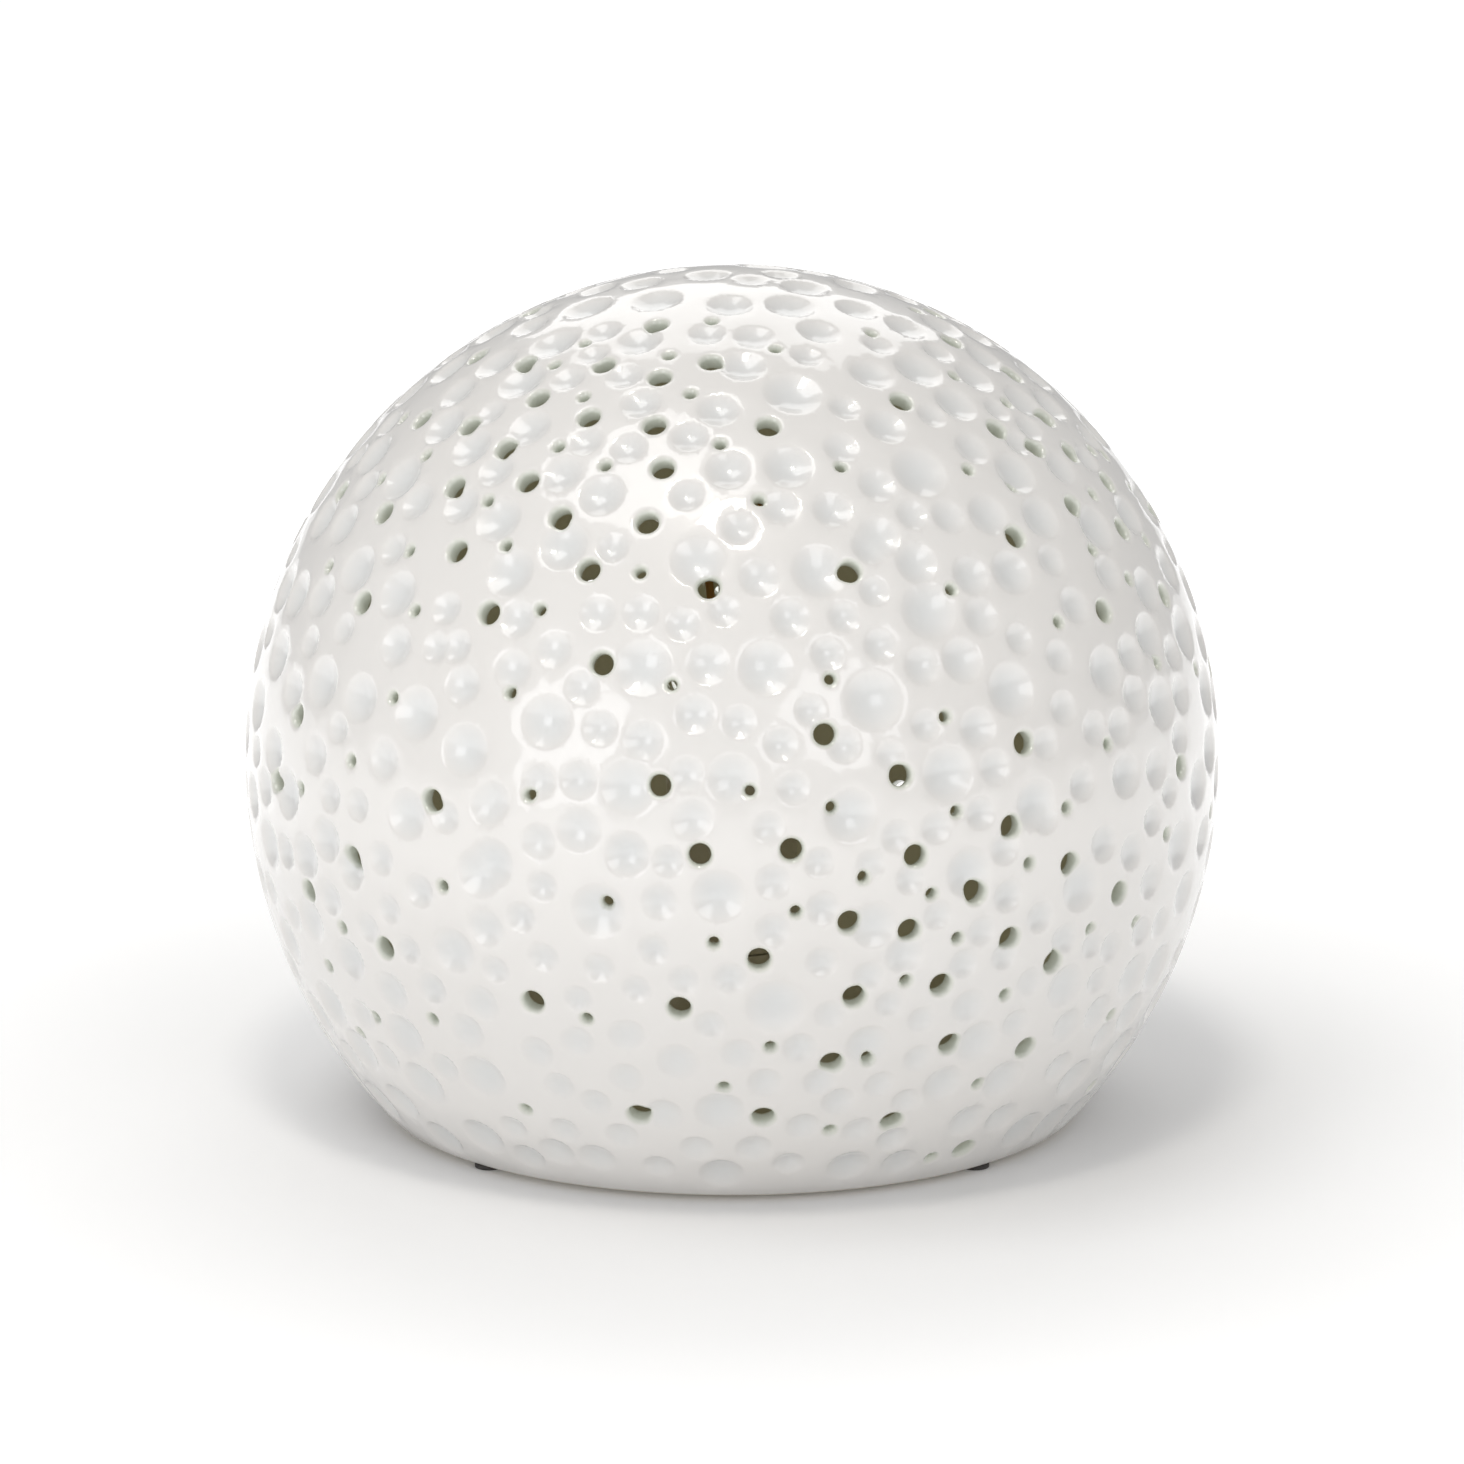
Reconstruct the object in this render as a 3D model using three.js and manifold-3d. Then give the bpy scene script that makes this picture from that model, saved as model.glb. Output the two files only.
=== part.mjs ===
// Pierced porcelain globe table lamp. Millimetres, +Z up, the table at z = 0, front towards -Y.
// A loose porcelain globe stands over a steel base with a small-screw lampholder and a candle bulb.
import * as THREE from 'three';
import { mergeVertices } from 'three/addons/utils/BufferGeometryUtils.js';
import Module from 'manifold-3d';

const wasm = await Module();
wasm.setup();

// ---------------------------------------------------------------- driving dimensions

// Clearances
const SEAM_GAP = 0.3;            // between fixed pieces that meet
const DISH_CLEARANCE = 3.2;      // globe foot to base dish, all round

// Globe: two half ellipsoids that share their equator
const GLOBE_RADIUS = 100;
const CROWN_RISE = 100.9;        // equator to the top
const BELLY_DROP = 104.8;        // semi-axis of the lower half, cut off by the foot
const EQUATOR_HEIGHT = 73.5;     // above the table
const GLOBE_WALL = 3.5;
const FOOT_LAND = 6.6;           // width of the flat ring it stands on
const FOOT_RIB_HEIGHT = 7;       // the wall thickens towards the foot over this height
const HOLE_RADIUS = 2.25;
const HOLE_SIDES = 5;
const NOTCH_WIDTH = 12;          // way out for a cord, at the back
const NOTCH_HEIGHT = 11;
const GLOBE_SEGMENTS = 28;
const CROWN_ROWS = 6;
const BELLY_ROWS = 4;

// Foot pads
const PAD_THICKNESS = 1;
const PAD_RADIUS = 2.9;
const PAD_COUNT = 4;

// Base: felt disc and pressed steel dish
const FELT_THICKNESS = 2;
const FELT_INSET = 1.2;          // felt edge inside the dish edge
const DISH_HEIGHT = 16;
const DISH_SHEET = 1.2;
const DISH_SHOULDER = 5;         // radius between side and top
const DISH_LIP = 11;             // width of the inward flange at the bottom
const DISH_SEGMENTS = 40;

// Cord grommet
const GROMMET_BORE = 3.15;       // radius
const GROMMET_WALL = 0.65;
const GROMMET_FLANGE = 4.6;      // radius
const GROMMET_FLANGE_THICKNESS = 1.1;
const GROMMET_LIFT = 0.5;        // inner flange above the dish's bottom lip

// Threaded nipple, nut and washer
const NIPPLE_RADIUS = 5;
const NIPPLE_WALL = 1.2;
const NIPPLE_BELOW = 7;          // below the dish top
const NIPPLE_ABOVE = 7;          // above the dish top
const NUT_THICKNESS = 3;
const NUT_WALL = 2;              // nipple to each flat
const WASHER_THICKNESS = 0.6;
const WASHER_WALL = 2;           // nipple to the roots of the teeth
const WASHER_TOOTH = 1.6;
const WASHER_TEETH = 12;

// Lampholder
const HOLDER_WALL = 1.6;
const HOLDER_LIP = 1.7;          // inside of the wall to the opening at the top
const HOLDER_EDGE = [0.7, 1];    // chamfer on the top edge: inwards, downwards
const MOUTH_CLEARANCE = 2;       // bulb cap skirt to the opening at the top
const BOSS_WALL = 3.5;           // nipple to the outside of the boss
const BOSS_HEIGHT = 3;
const BOSS_FLOOR_INSET = 0.5;    // inner floor of the cap inside the boss
const BOSS_FLARE = 2;            // height of the first slope above the boss
const BOSS_FLARE_SHARE = 0.6;    // of the way out to the wall
const CONE_HEIGHT = 9;           // dish to the upright wall
const CAP_HEIGHT = 16;
const SHELL_HEIGHT = 36.7;
const INSERT_BELOW_SEAM = 5;     // how far the insert reaches down into the cap
const INSERT_BELOW_MOUTH = 5;
const WELL_CLEARANCE = 0.6;      // screw shell to the wall of the well
const WELL_DEPTH = 20;
const TERMINAL_OFFSET = 6.5;
const TERMINAL_SHANK = 1.3;
const TERMINAL_SHANK_LENGTH = 7;
const TERMINAL_HEAD = 2.1;
const TERMINAL_HEAD_HEIGHT = 1.9;
const TERMINAL_SLOT = 0.6;       // width
const GRUB_RADIUS = 1.5;
const GRUB_LENGTH = 2.6;
const GRUB_SOCKET = 0.8;         // radius
const GRUB_LIFT = 2.3;           // axis above the dish

// Contacts in the lampholder
const LEAF_SHEET = 0.5;
const LEAF_WIDTH = 4;
const LEAF_REACH = 3;            // half the length of the tongue
const LEAF_FOOT = 6;             // length of the foot from the axis
const LEAF_BEND = 1;             // how far the bend stands out behind the tongue
const TAB_SHEET = 0.6;
const TAB_WIDTH = 3;

// Small Edison screw thread, shared by the bulb cap and the lampholder
const THREAD_PITCH = 2.822;
const THREAD_MEAN = 6.5;         // mean radius of the bulb's thread
const THREAD_DEPTH = 0.35;       // half of crest to root
const THREAD_CLEARANCE = 0.5;
const THREAD_SHEET = 0.6;
const THREAD_ROWS = 4;           // profile points in one turn
const THREAD_SEGMENTS = 16;
const SOCKET_THREAD_HEIGHT = 15;
const SOCKET_THREAD_LIFT = 4;    // above the floor of the well

// Bulb
const BULB_SEAT_LIFT = 4.5;      // solder contact above the floor of the well
const SOLDER_RADIUS = 2.3;
const SOLDER_HEIGHT = 1.5;
const INSULATOR_HEIGHT = 2.7;
const CAP_THREAD_HEIGHT = 12.5;
const CAP_NECK_HEIGHT = 2.5;
const CAP_SKIRT_HEIGHT = 3.7;
const CAP_SKIRT_SHEET = 0.8;
const GLASS_NECK_MARGIN = 0.6;   // neck of the glass outside the thread's mean radius
const GLASS_NECK_DEPTH = 3.4;    // part of the neck inside the cap
const GLASS_RADIUS = 17.5;
const GLASS_WALL = 0.8;
const GLASS_SHOULDER_RISE = 26;  // cap rim to widest place
const GLASS_FLAME_RISE = 47;     // widest place to tip
const GLASS_SWELL = 1.4;         // powers of the curves below and above the widest place
const GLASS_TAPER = 0.8;
const GLASS_TIP_SHARE = 0.12;    // how much narrower the taper gets on the way up
const STEM_RADIUS = 2.2;
const STEM_RISE = 15;            // above the cap rim
const STEM_PINCH = 4;            // height of the flat squeezed top
const STEM_FLARE_RISE = 6;       // top of the flare above the cap rim
const STEM_FLARE_GAP = 1;        // flare to the glass
const STEM_FLARE_EDGE = 1;       // thickness
const FILAMENT_COUNT = 4;
const FILAMENT_LENGTH = 38;
const FILAMENT_RADIUS = 0.85;
const FILAMENT_FOOT = 3.2;       // distance from the axis at the lower end
const FILAMENT_HEAD = 7.2;       // distance from the axis at the upper end
const FILAMENT_LIFT = 18.5;      // lower end above the cap rim
const FILAMENT_TURN = 24;        // degrees from +X to the first filament
const WIRE_RADIUS = 0.35;
const WIRE_DROP = 6;             // tail of the upper wires below the filament ends

// Holes of one mould half, as degrees of longitude from the front and degrees of latitude.
// The other half of the mould is the same half turned round.
const HOLES = [
  [-73.5, 58], [-53, 59.5], [-31, 61], [-25, 69.5], [-16, 59.5], [-5, 62.5], [68.5, 62],
  [-66.5, 48], [-51.5, 49], [-40.5, 54.5], [-40, 47], [-27, 52.5], [-14, 52], [-11, 46],
  [6.5, 52], [34.5, 54.5], [51.5, 48.5], [57.5, 45], [68.5, 48], [74.5, 54.5], [66.5, 43],
  [-75, 36], [-57.5, 36], [-45.5, 41], [-39.5, 33.5], [-32.5, 43], [-25, 39], [-12, 39],
  [-19, 33], [-3, 31.5], [15.5, 33], [42, 35], [57, 37], [71.5, 38], [66.5, 32.5],
  [-53, 25.5], [-31.5, 27], [-15.5, 22.5], [53, 24.5], [70, 23.5],
  [-61, 11], [-8, 9.5], [10.5, 15], [19, 10], [35, 12],
  [-65.5, 2.5], [-48, -3], [-35.5, 5.5], [-3.5, 2], [6.5, 2.5], [20.5, 1], [32.5, 3],
  [63.5, 4.5], [41, -2.5], [28, -4], [13, -6], [20, -7.5], [50, -7.5],
  [-58, -9], [-44, -13], [3, -10], [14, -15], [24.5, -14.5], [33, -10], [40, -14],
  [-23.5, -16.5], [-6, -16], [12, -23.5], [27, -22.5], [39, -25],
  [-12, -31], [4, -31], [21.5, -33], [36, -40],
  [88, 31], [92, -16], [84, 12], [86, -33], [89, 66],
];

// ---------------------------------------------------------------- derived places

const footHeight = PAD_THICKNESS;
const footDrop = EQUATOR_HEIGHT - footHeight;
const footOuter = GLOBE_RADIUS * Math.sqrt(1 - (footDrop / BELLY_DROP) ** 2);
const footInner = footOuter - FOOT_LAND;
const dishRadius = footInner - DISH_CLEARANCE;
const dishTop = FELT_THICKNESS + DISH_HEIGHT;
const dishUnder = dishTop - DISH_SHEET;
const grommetHeight = FELT_THICKNESS + DISH_SHEET + GROMMET_FLANGE + GROMMET_LIFT;
const dishShoulder = Math.min(DISH_SHOULDER, dishTop - grommetHeight - GROMMET_FLANGE);
const nippleHole = NIPPLE_RADIUS + SEAM_GAP;
const socketInner = THREAD_MEAN + THREAD_CLEARANCE;
const wellRadius = socketInner + THREAD_SHEET + THREAD_DEPTH + WELL_CLEARANCE;
const glassNeck = THREAD_MEAN + GLASS_NECK_MARGIN;
const skirtInner = glassNeck + SEAM_GAP;
const skirtRadius = skirtInner + CAP_SKIRT_SHEET;
const shellMouth = skirtRadius + MOUTH_CLEARANCE;
const holderInner = shellMouth + HOLDER_LIP;
const holderRadius = holderInner + HOLDER_WALL;
const bossRadius = NIPPLE_RADIUS + BOSS_WALL;
const grubHeight = dishTop + GRUB_LIFT;
const seamHeight = dishTop + CAP_HEIGHT;
const shellBottom = seamHeight + SEAM_GAP;
const shellTop = shellBottom + SHELL_HEIGHT;
const insertBottom = seamHeight - INSERT_BELOW_SEAM;
const insertTop = shellTop - INSERT_BELOW_MOUTH;
const wellFloor = insertTop - WELL_DEPTH;
const solderBottom = wellFloor + BULB_SEAT_LIFT;
const insulatorBottom = solderBottom + SOLDER_HEIGHT + SEAM_GAP;
const capBottom = insulatorBottom + INSULATOR_HEIGHT + SEAM_GAP;
const capNeck = capBottom + CAP_THREAD_HEIGHT;
const capSkirt = capNeck + CAP_NECK_HEIGHT;
const capRim = capSkirt + CAP_SKIRT_HEIGHT;
const filamentBottom = capRim + FILAMENT_LIFT;

// ---------------------------------------------------------------- shape tools

// Finish of each kind of piece: colour, roughness, metalness
const FINISHES = {
  porcelain: [0xeeebe4, 0.12, 0],
  rubber: [0x3a3836, 0.85, 0],
  felt: [0x4b4c47, 0.95, 0],
  paintedSteel: [0xe6e3da, 0.4, 0.1],
  zincSteel: [0xb9bcbd, 0.35, 1],
  brass: [0xc9a45c, 0.3, 1],
  whiteResin: [0xe9e6dd, 0.45, 0],
  steatite: [0xddd8ca, 0.6, 0],
  nickel: [0xc6c3bb, 0.25, 1],
  blackGlass: [0x1d1c1b, 0.2, 0],
  solder: [0xa9abac, 0.4, 1],
  clearGlass: [0xf4f6f4, 0.05, 0],
  phosphor: [0xe0b24a, 0.5, 0],
};

const lamp = new THREE.Group();

// A named mesh added to the lamp, from a three.js geometry or a solid
function add(name, finish, shape) {
  const [color, roughness, metalness] = FINISHES[finish];
  const geometry = shape.isBufferGeometry ? shape : geometryOf(shape);
  const mesh = new THREE.Mesh(geometry, new THREE.MeshStandardMaterial({ color, roughness, metalness }));
  mesh.name = name;
  lamp.add(mesh);
  return mesh;
}

function solidOf(geometry) {
  const merged = geometry.clone();
  merged.deleteAttribute('normal');
  merged.deleteAttribute('uv');
  const welded = mergeVertices(merged, 1e-4);
  const triangles = [];
  for (let i = 0; i < welded.index.count; i += 3) {
    const corners = [welded.index.getX(i), welded.index.getX(i + 1), welded.index.getX(i + 2)];
    if (new Set(corners).size === 3) triangles.push(...corners);
  }
  return new wasm.Manifold(new wasm.Mesh({
    numProp: 3,
    vertProperties: new Float32Array(welded.attributes.position.array),
    triVerts: new Uint32Array(triangles),
  }));
}

function geometryOf(solid) {
  const mesh = solid.getMesh();
  const geometry = new THREE.BufferGeometry();
  geometry.setAttribute('position', new THREE.BufferAttribute(mesh.vertProperties, 3));
  geometry.setIndex(new THREE.BufferAttribute(mesh.triVerts, 1));
  geometry.computeVertexNormals();
  return geometry;
}

// A profile of [radius, height] points turned about the Z axis. The outline runs clockwise as
// seen with the radius to the right and the height up: down the outside, then up the inside.
function turned(profile, segments = 24) {
  const points = profile.map(([radius, height]) => new THREE.Vector2(radius, height));
  const geometry = new THREE.LatheGeometry(points.reverse(), segments);
  return geometry.rotateX(Math.PI / 2);
}

// The same for an outline that doesn't touch the axis
function turnedRing(profile, segments = 24) {
  return turned([...profile, profile[0]], segments);
}

// A round bar of the given radius from one point to another
function bar(from, to, radius, sides = 8) {
  const start = new THREE.Vector3(...from);
  const end = new THREE.Vector3(...to);
  const run = end.clone().sub(start);
  const geometry = new THREE.CylinderGeometry(radius, radius, run.length(), sides);
  const up = new THREE.Vector3(0, 1, 0);
  geometry.applyQuaternion(new THREE.Quaternion().setFromUnitVectors(up, run.normalize()));
  return geometry.translate(...start.add(end).multiplyScalar(0.5).toArray());
}

function box(low, high) {
  const size = high.map((value, axis) => value - low[axis]);
  const middle = high.map((value, axis) => (value + low[axis]) / 2);
  return new THREE.BoxGeometry(...size).translate(...middle);
}

// Points on an arc in a profile, angles in degrees from the radius direction
function arc(centre, radii, fromDegrees, toDegrees, steps) {
  const points = [];
  for (let step = 0; step <= steps; step += 1) {
    const angle = THREE.MathUtils.degToRad(fromDegrees + (toDegrees - fromDegrees) * step / steps);
    points.push([centre[0] + radii[0] * Math.cos(angle), centre[1] + radii[1] * Math.sin(angle)]);
  }
  return points;
}

// ---------------------------------------------------------------- porcelain globe

// Half ellipsoids outside and, a wall thinner, inside; a rib at the foot; all the holes
function porcelainGlobe() {
  const centre = [0, EQUATOR_HEIGHT];
  const footAngle = -THREE.MathUtils.radToDeg(Math.asin(footDrop / BELLY_DROP));
  const innerRadius = GLOBE_RADIUS - GLOBE_WALL;
  const innerDrop = BELLY_DROP - GLOBE_WALL;
  const ribAngle = -THREE.MathUtils.radToDeg(Math.asin((footDrop - FOOT_RIB_HEIGHT) / innerDrop));
  const crown = arc(centre, [GLOBE_RADIUS, CROWN_RISE], 90, 0, CROWN_ROWS);
  const belly = arc(centre, [GLOBE_RADIUS, BELLY_DROP], 0, footAngle, BELLY_ROWS).slice(1);
  const innerBelly = arc(centre, [innerRadius, innerDrop], ribAngle, 0, BELLY_ROWS);
  const innerCrown = arc(centre, [innerRadius, CROWN_RISE - GLOBE_WALL], 0, 90, CROWN_ROWS).slice(1);
  crown[0][0] = 0;
  innerCrown.at(-1)[0] = 0;
  const rib = [[footInner, footHeight], [footInner, footHeight + FOOT_RIB_HEIGHT / 3]];
  const profile = [...crown, ...belly, ...rib, ...innerBelly, ...innerCrown];
  let globe = solidOf(turned(profile, GLOBE_SEGMENTS));
  for (const [longitude, latitude] of HOLES) {
    for (const halfTurn of [0, 180]) {
      globe = globe.subtract(holeCutter(longitude + halfTurn, latitude));
    }
  }
  const notchLow = [-NOTCH_WIDTH / 2, footInner - FOOT_LAND, 0];
  const notchHigh = [NOTCH_WIDTH / 2, GLOBE_RADIUS, footHeight + NOTCH_HEIGHT];
  return globe.subtract(solidOf(box(notchLow, notchHigh)));
}

// A straight cutter square to the wall where the ray at this longitude and latitude meets it
function holeCutter(longitude, latitude) {
  const lon = THREE.MathUtils.degToRad(longitude);
  const lat = THREE.MathUtils.degToRad(latitude);
  const rise = latitude > 0 ? CROWN_RISE : BELLY_DROP;
  const reach = 1 / Math.hypot(Math.cos(lat) / GLOBE_RADIUS, Math.sin(lat) / rise);
  const radius = reach * Math.cos(lat);
  const height = reach * Math.sin(lat);
  const slope = new THREE.Vector2(radius / GLOBE_RADIUS ** 2, height / rise ** 2).normalize();
  const outward = new THREE.Vector3(slope.x * Math.sin(lon), -slope.x * Math.cos(lon), slope.y);
  const surface = new THREE.Vector3(radius * Math.sin(lon), -radius * Math.cos(lon), height);
  surface.z += EQUATOR_HEIGHT;
  const inside = surface.clone().addScaledVector(outward, -2 * GLOBE_WALL);
  const outside = surface.clone().addScaledVector(outward, GLOBE_WALL);
  return solidOf(bar(inside.toArray(), outside.toArray(), HOLE_RADIUS, HOLE_SIDES));
}

add('porcelain_globe', 'porcelain', porcelainGlobe());

// ---------------------------------------------------------------- foot pads

for (let pad = 0; pad < PAD_COUNT; pad += 1) {
  const angle = (pad + 0.5) * 2 * Math.PI / PAD_COUNT;
  const reach = (footInner + footOuter) / 2;
  const disc = new THREE.CylinderGeometry(PAD_RADIUS, PAD_RADIUS, PAD_THICKNESS, 16).rotateX(Math.PI / 2);
  const mesh = add(`foot_pad_${pad + 1}`, 'rubber', disc);
  mesh.position.set(reach * Math.cos(angle), reach * Math.sin(angle), PAD_THICKNESS / 2);
}

// ---------------------------------------------------------------- felt and steel dish

const feltRadius = dishRadius - FELT_INSET;
add('felt_pad', 'felt', turned([
  [0, FELT_THICKNESS],
  [feltRadius, FELT_THICKNESS],
  [feltRadius, 0],
  [0, 0],
], DISH_SEGMENTS));

// Top plate, rounded shoulder, upright side and an inward lip, one sheet thick all the way
function baseDish() {
  const shoulder = [dishRadius - dishShoulder, dishTop - dishShoulder];
  const innerRound = dishShoulder - DISH_SHEET;
  const lipEdge = dishRadius - DISH_LIP;
  const innerSide = dishRadius - DISH_SHEET;
  const profile = [
    [nippleHole, dishTop],
    ...arc(shoulder, [dishShoulder, dishShoulder], 90, 0, 4),
    [dishRadius, FELT_THICKNESS],
    [lipEdge, FELT_THICKNESS],
    [lipEdge, FELT_THICKNESS + DISH_SHEET],
    [innerSide, FELT_THICKNESS + DISH_SHEET],
    ...arc(shoulder, [innerRound, innerRound], 0, 90, 4),
    [nippleHole, dishUnder],
  ];
  const dish = solidOf(turnedRing(profile, DISH_SEGMENTS));
  const holeRadius = GROMMET_BORE + GROMMET_WALL + SEAM_GAP;
  const inside = [0, dishRadius - DISH_LIP, grommetHeight];
  const outside = [0, dishRadius + DISH_LIP, grommetHeight];
  return dish.subtract(solidOf(bar(inside, outside, holeRadius, 20)));
}

add('base_dish', 'paintedSteel', baseDish());

// ---------------------------------------------------------------- cord grommet

// A flanged bush snapped into the back of the dish, its groove wider than the curved sheet
function cordGrommet() {
  const sleeve = GROMMET_BORE + GROMMET_WALL;
  const sag = dishRadius - Math.sqrt(dishRadius ** 2 - GROMMET_FLANGE ** 2);
  const grooveBack = dishRadius + SEAM_GAP;
  const grooveFront = dishRadius - DISH_SHEET - sag - SEAM_GAP;
  const profile = [
    [GROMMET_BORE, grooveBack + GROMMET_FLANGE_THICKNESS],
    [GROMMET_FLANGE, grooveBack + GROMMET_FLANGE_THICKNESS],
    [GROMMET_FLANGE, grooveBack],
    [sleeve, grooveBack],
    [sleeve, grooveFront],
    [GROMMET_FLANGE, grooveFront],
    [GROMMET_FLANGE, grooveFront - GROMMET_FLANGE_THICKNESS],
    [GROMMET_BORE, grooveFront - GROMMET_FLANGE_THICKNESS],
  ];
  return turnedRing(profile, 20).rotateX(-Math.PI / 2);
}

add('cord_grommet', 'rubber', cordGrommet()).position.z = grommetHeight;

// ---------------------------------------------------------------- nipple, nut and washer

const nippleBore = NIPPLE_RADIUS - NIPPLE_WALL;
add('nipple_tube', 'zincSteel', turnedRing([
  [nippleBore, dishTop + NIPPLE_ABOVE],
  [NIPPLE_RADIUS, dishTop + NIPPLE_ABOVE],
  [NIPPLE_RADIUS, dishTop - NIPPLE_BELOW],
  [nippleBore, dishTop - NIPPLE_BELOW],
], 20));

const washerTop = dishUnder - SEAM_GAP;
const nutTop = washerTop - WASHER_THICKNESS - SEAM_GAP;

// A flat plate with a bore for the nipple, from an outline of [x, y] points
function boredPlate(outline, bottom, thickness) {
  const shape = new THREE.Shape(outline.map(([x, y]) => new THREE.Vector2(x, y)));
  const hole = new THREE.Path().absarc(0, 0, nippleHole, 0, 2 * Math.PI, true);
  shape.holes.push(hole);
  const settings = { depth: thickness, bevelEnabled: false, curveSegments: 10 };
  const geometry = new THREE.ExtrudeGeometry(shape, settings);
  return geometry.translate(0, 0, bottom);
}

// Corners of a regular outline whose radii repeat in turn
function starOutline(count, radii) {
  return Array.from({ length: count }, (_, corner) => {
    const angle = corner * 2 * Math.PI / count;
    const radius = radii[corner % radii.length];
    return [radius * Math.cos(angle), radius * Math.sin(angle)];
  });
}

const toothRoot = NIPPLE_RADIUS + WASHER_WALL;
const washerOutline = starOutline(2 * WASHER_TEETH, [toothRoot + WASHER_TOOTH, toothRoot]);
add('toothed_washer', 'zincSteel', boredPlate(washerOutline, washerTop - WASHER_THICKNESS, WASHER_THICKNESS));
const nutOutline = starOutline(6, [2 * (NIPPLE_RADIUS + NUT_WALL) / Math.sqrt(3)]);
add('lock_nut', 'brass', boredPlate(nutOutline, nutTop - NUT_THICKNESS, NUT_THICKNESS));

// ---------------------------------------------------------------- lampholder

// Threaded entry cap: a boss on the dish that widens to the holder's full width
function lampholderCap() {
  const bossTop = dishTop + BOSS_HEIGHT;
  const coneTop = dishTop + CONE_HEIGHT;
  const flareRadius = bossRadius + BOSS_FLARE_SHARE * (holderRadius - bossRadius);
  const cap = solidOf(turnedRing([
    [holderInner, seamHeight],
    [holderRadius, seamHeight],
    [holderRadius, coneTop],
    [flareRadius, bossTop + BOSS_FLARE],
    [bossRadius, bossTop],
    [bossRadius, dishTop],
    [nippleHole, dishTop],
    [nippleHole, bossTop + HOLDER_WALL],
    [bossRadius - BOSS_FLOOR_INSET, bossTop + HOLDER_WALL],
    [holderInner, coneTop + HOLDER_WALL / 2],
  ], 28));
  const hole = bar([0, 0, grubHeight], [2 * holderRadius, 0, grubHeight], GRUB_RADIUS + SEAM_GAP, 12);
  return cap.subtract(solidOf(hole));
}

add('lampholder_cap', 'whiteResin', lampholderCap());

// Headless screw through the boss, with a hexagon socket, that stops the holder turning
function grubScrew() {
  const at = (reach) => [nippleHole + reach, 0, grubHeight];
  const screw = solidOf(bar(at(0), at(GRUB_LENGTH), GRUB_RADIUS, 12));
  const socket = bar(at(GRUB_LENGTH / 2), at(2 * GRUB_LENGTH), GRUB_SOCKET, 6);
  return screw.subtract(solidOf(socket));
}

add('grub_screw', 'zincSteel', grubScrew());

add('lampholder_shell', 'whiteResin', turnedRing([
  [shellMouth, shellTop],
  [holderRadius - HOLDER_EDGE[0], shellTop],
  [holderRadius, shellTop - HOLDER_EDGE[1]],
  [holderRadius, shellBottom],
  [holderInner, shellBottom],
  [holderInner, shellTop - HOLDER_WALL],
  [shellMouth, shellTop - HOLDER_WALL],
], 28));

// Insulating body with a well for the thread and two bores for the terminal screws
function lampholderInsert() {
  const radius = holderInner - SEAM_GAP;
  let insert = solidOf(turned([
    [0, wellFloor],
    [wellRadius, wellFloor],
    [wellRadius, insertTop],
    [radius, insertTop],
    [radius, insertBottom],
    [0, insertBottom],
  ], 28));
  for (const side of [-1, 1]) {
    const x = side * TERMINAL_OFFSET;
    const top = insertBottom + TERMINAL_SHANK_LENGTH + SEAM_GAP;
    const bore = bar([x, 0, seamHeight - CAP_HEIGHT], [x, 0, top], TERMINAL_SHANK + SEAM_GAP, 12);
    insert = insert.subtract(solidOf(bore));
  }
  return insert;
}

add('lampholder_insert', 'steatite', lampholderInsert());

// Cheese-head screw with a slot, under the insert
function terminalScrew() {
  const headTop = insertBottom - SEAM_GAP;
  const headBottom = headTop - TERMINAL_HEAD_HEIGHT;
  const screw = solidOf(turned([
    [0, insertBottom + TERMINAL_SHANK_LENGTH - SEAM_GAP],
    [TERMINAL_SHANK, insertBottom + TERMINAL_SHANK_LENGTH - SEAM_GAP],
    [TERMINAL_SHANK, headTop],
    [TERMINAL_HEAD, headTop],
    [TERMINAL_HEAD, headBottom],
    [0, headBottom],
  ], 12));
  const slotLow = [-2 * TERMINAL_HEAD, -TERMINAL_SLOT / 2, headBottom - TERMINAL_HEAD_HEIGHT];
  const slotHigh = [2 * TERMINAL_HEAD, TERMINAL_SLOT / 2, headBottom + TERMINAL_HEAD_HEIGHT / 2];
  return screw.subtract(solidOf(box(slotLow, slotHigh)));
}

for (const [index, side] of [-1, 1].entries()) {
  add(`terminal_screw_${index + 1}`, 'brass', terminalScrew()).position.x = side * TERMINAL_OFFSET;
}

// ---------------------------------------------------------------- screw threads

// Pushes the points of a turned piece out and in along a right-hand helix. The depth fades to
// nothing at both ends of the threaded height, and points inside the given radius stay.
function threaded(geometry, bottom, top, fromRadius) {
  const position = geometry.attributes.position;
  for (let i = 0; i < position.count; i += 1) {
    const x = position.getX(i);
    const y = position.getY(i);
    const z = position.getZ(i);
    const radius = Math.hypot(x, y);
    const fade = Math.min(1, Math.max(0, Math.min(z - bottom, top - z) / (THREAD_PITCH / 2)));
    if (radius > fromRadius) {
      const wave = Math.cos(2 * Math.PI * (z - wellFloor) / THREAD_PITCH - Math.atan2(y, x));
      const scale = (radius + THREAD_DEPTH * fade * wave) / radius;
      position.setXY(i, x * scale, y * scale);
    }
  }
  return geometry;
}

// Evenly spaced profile points up a threaded wall
function threadRows(radius, bottom, top) {
  const count = Math.round((top - bottom) / THREAD_PITCH * THREAD_ROWS);
  return Array.from({ length: count + 1 }, (_, row) => [radius, bottom + (top - bottom) * row / count]);
}

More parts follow.
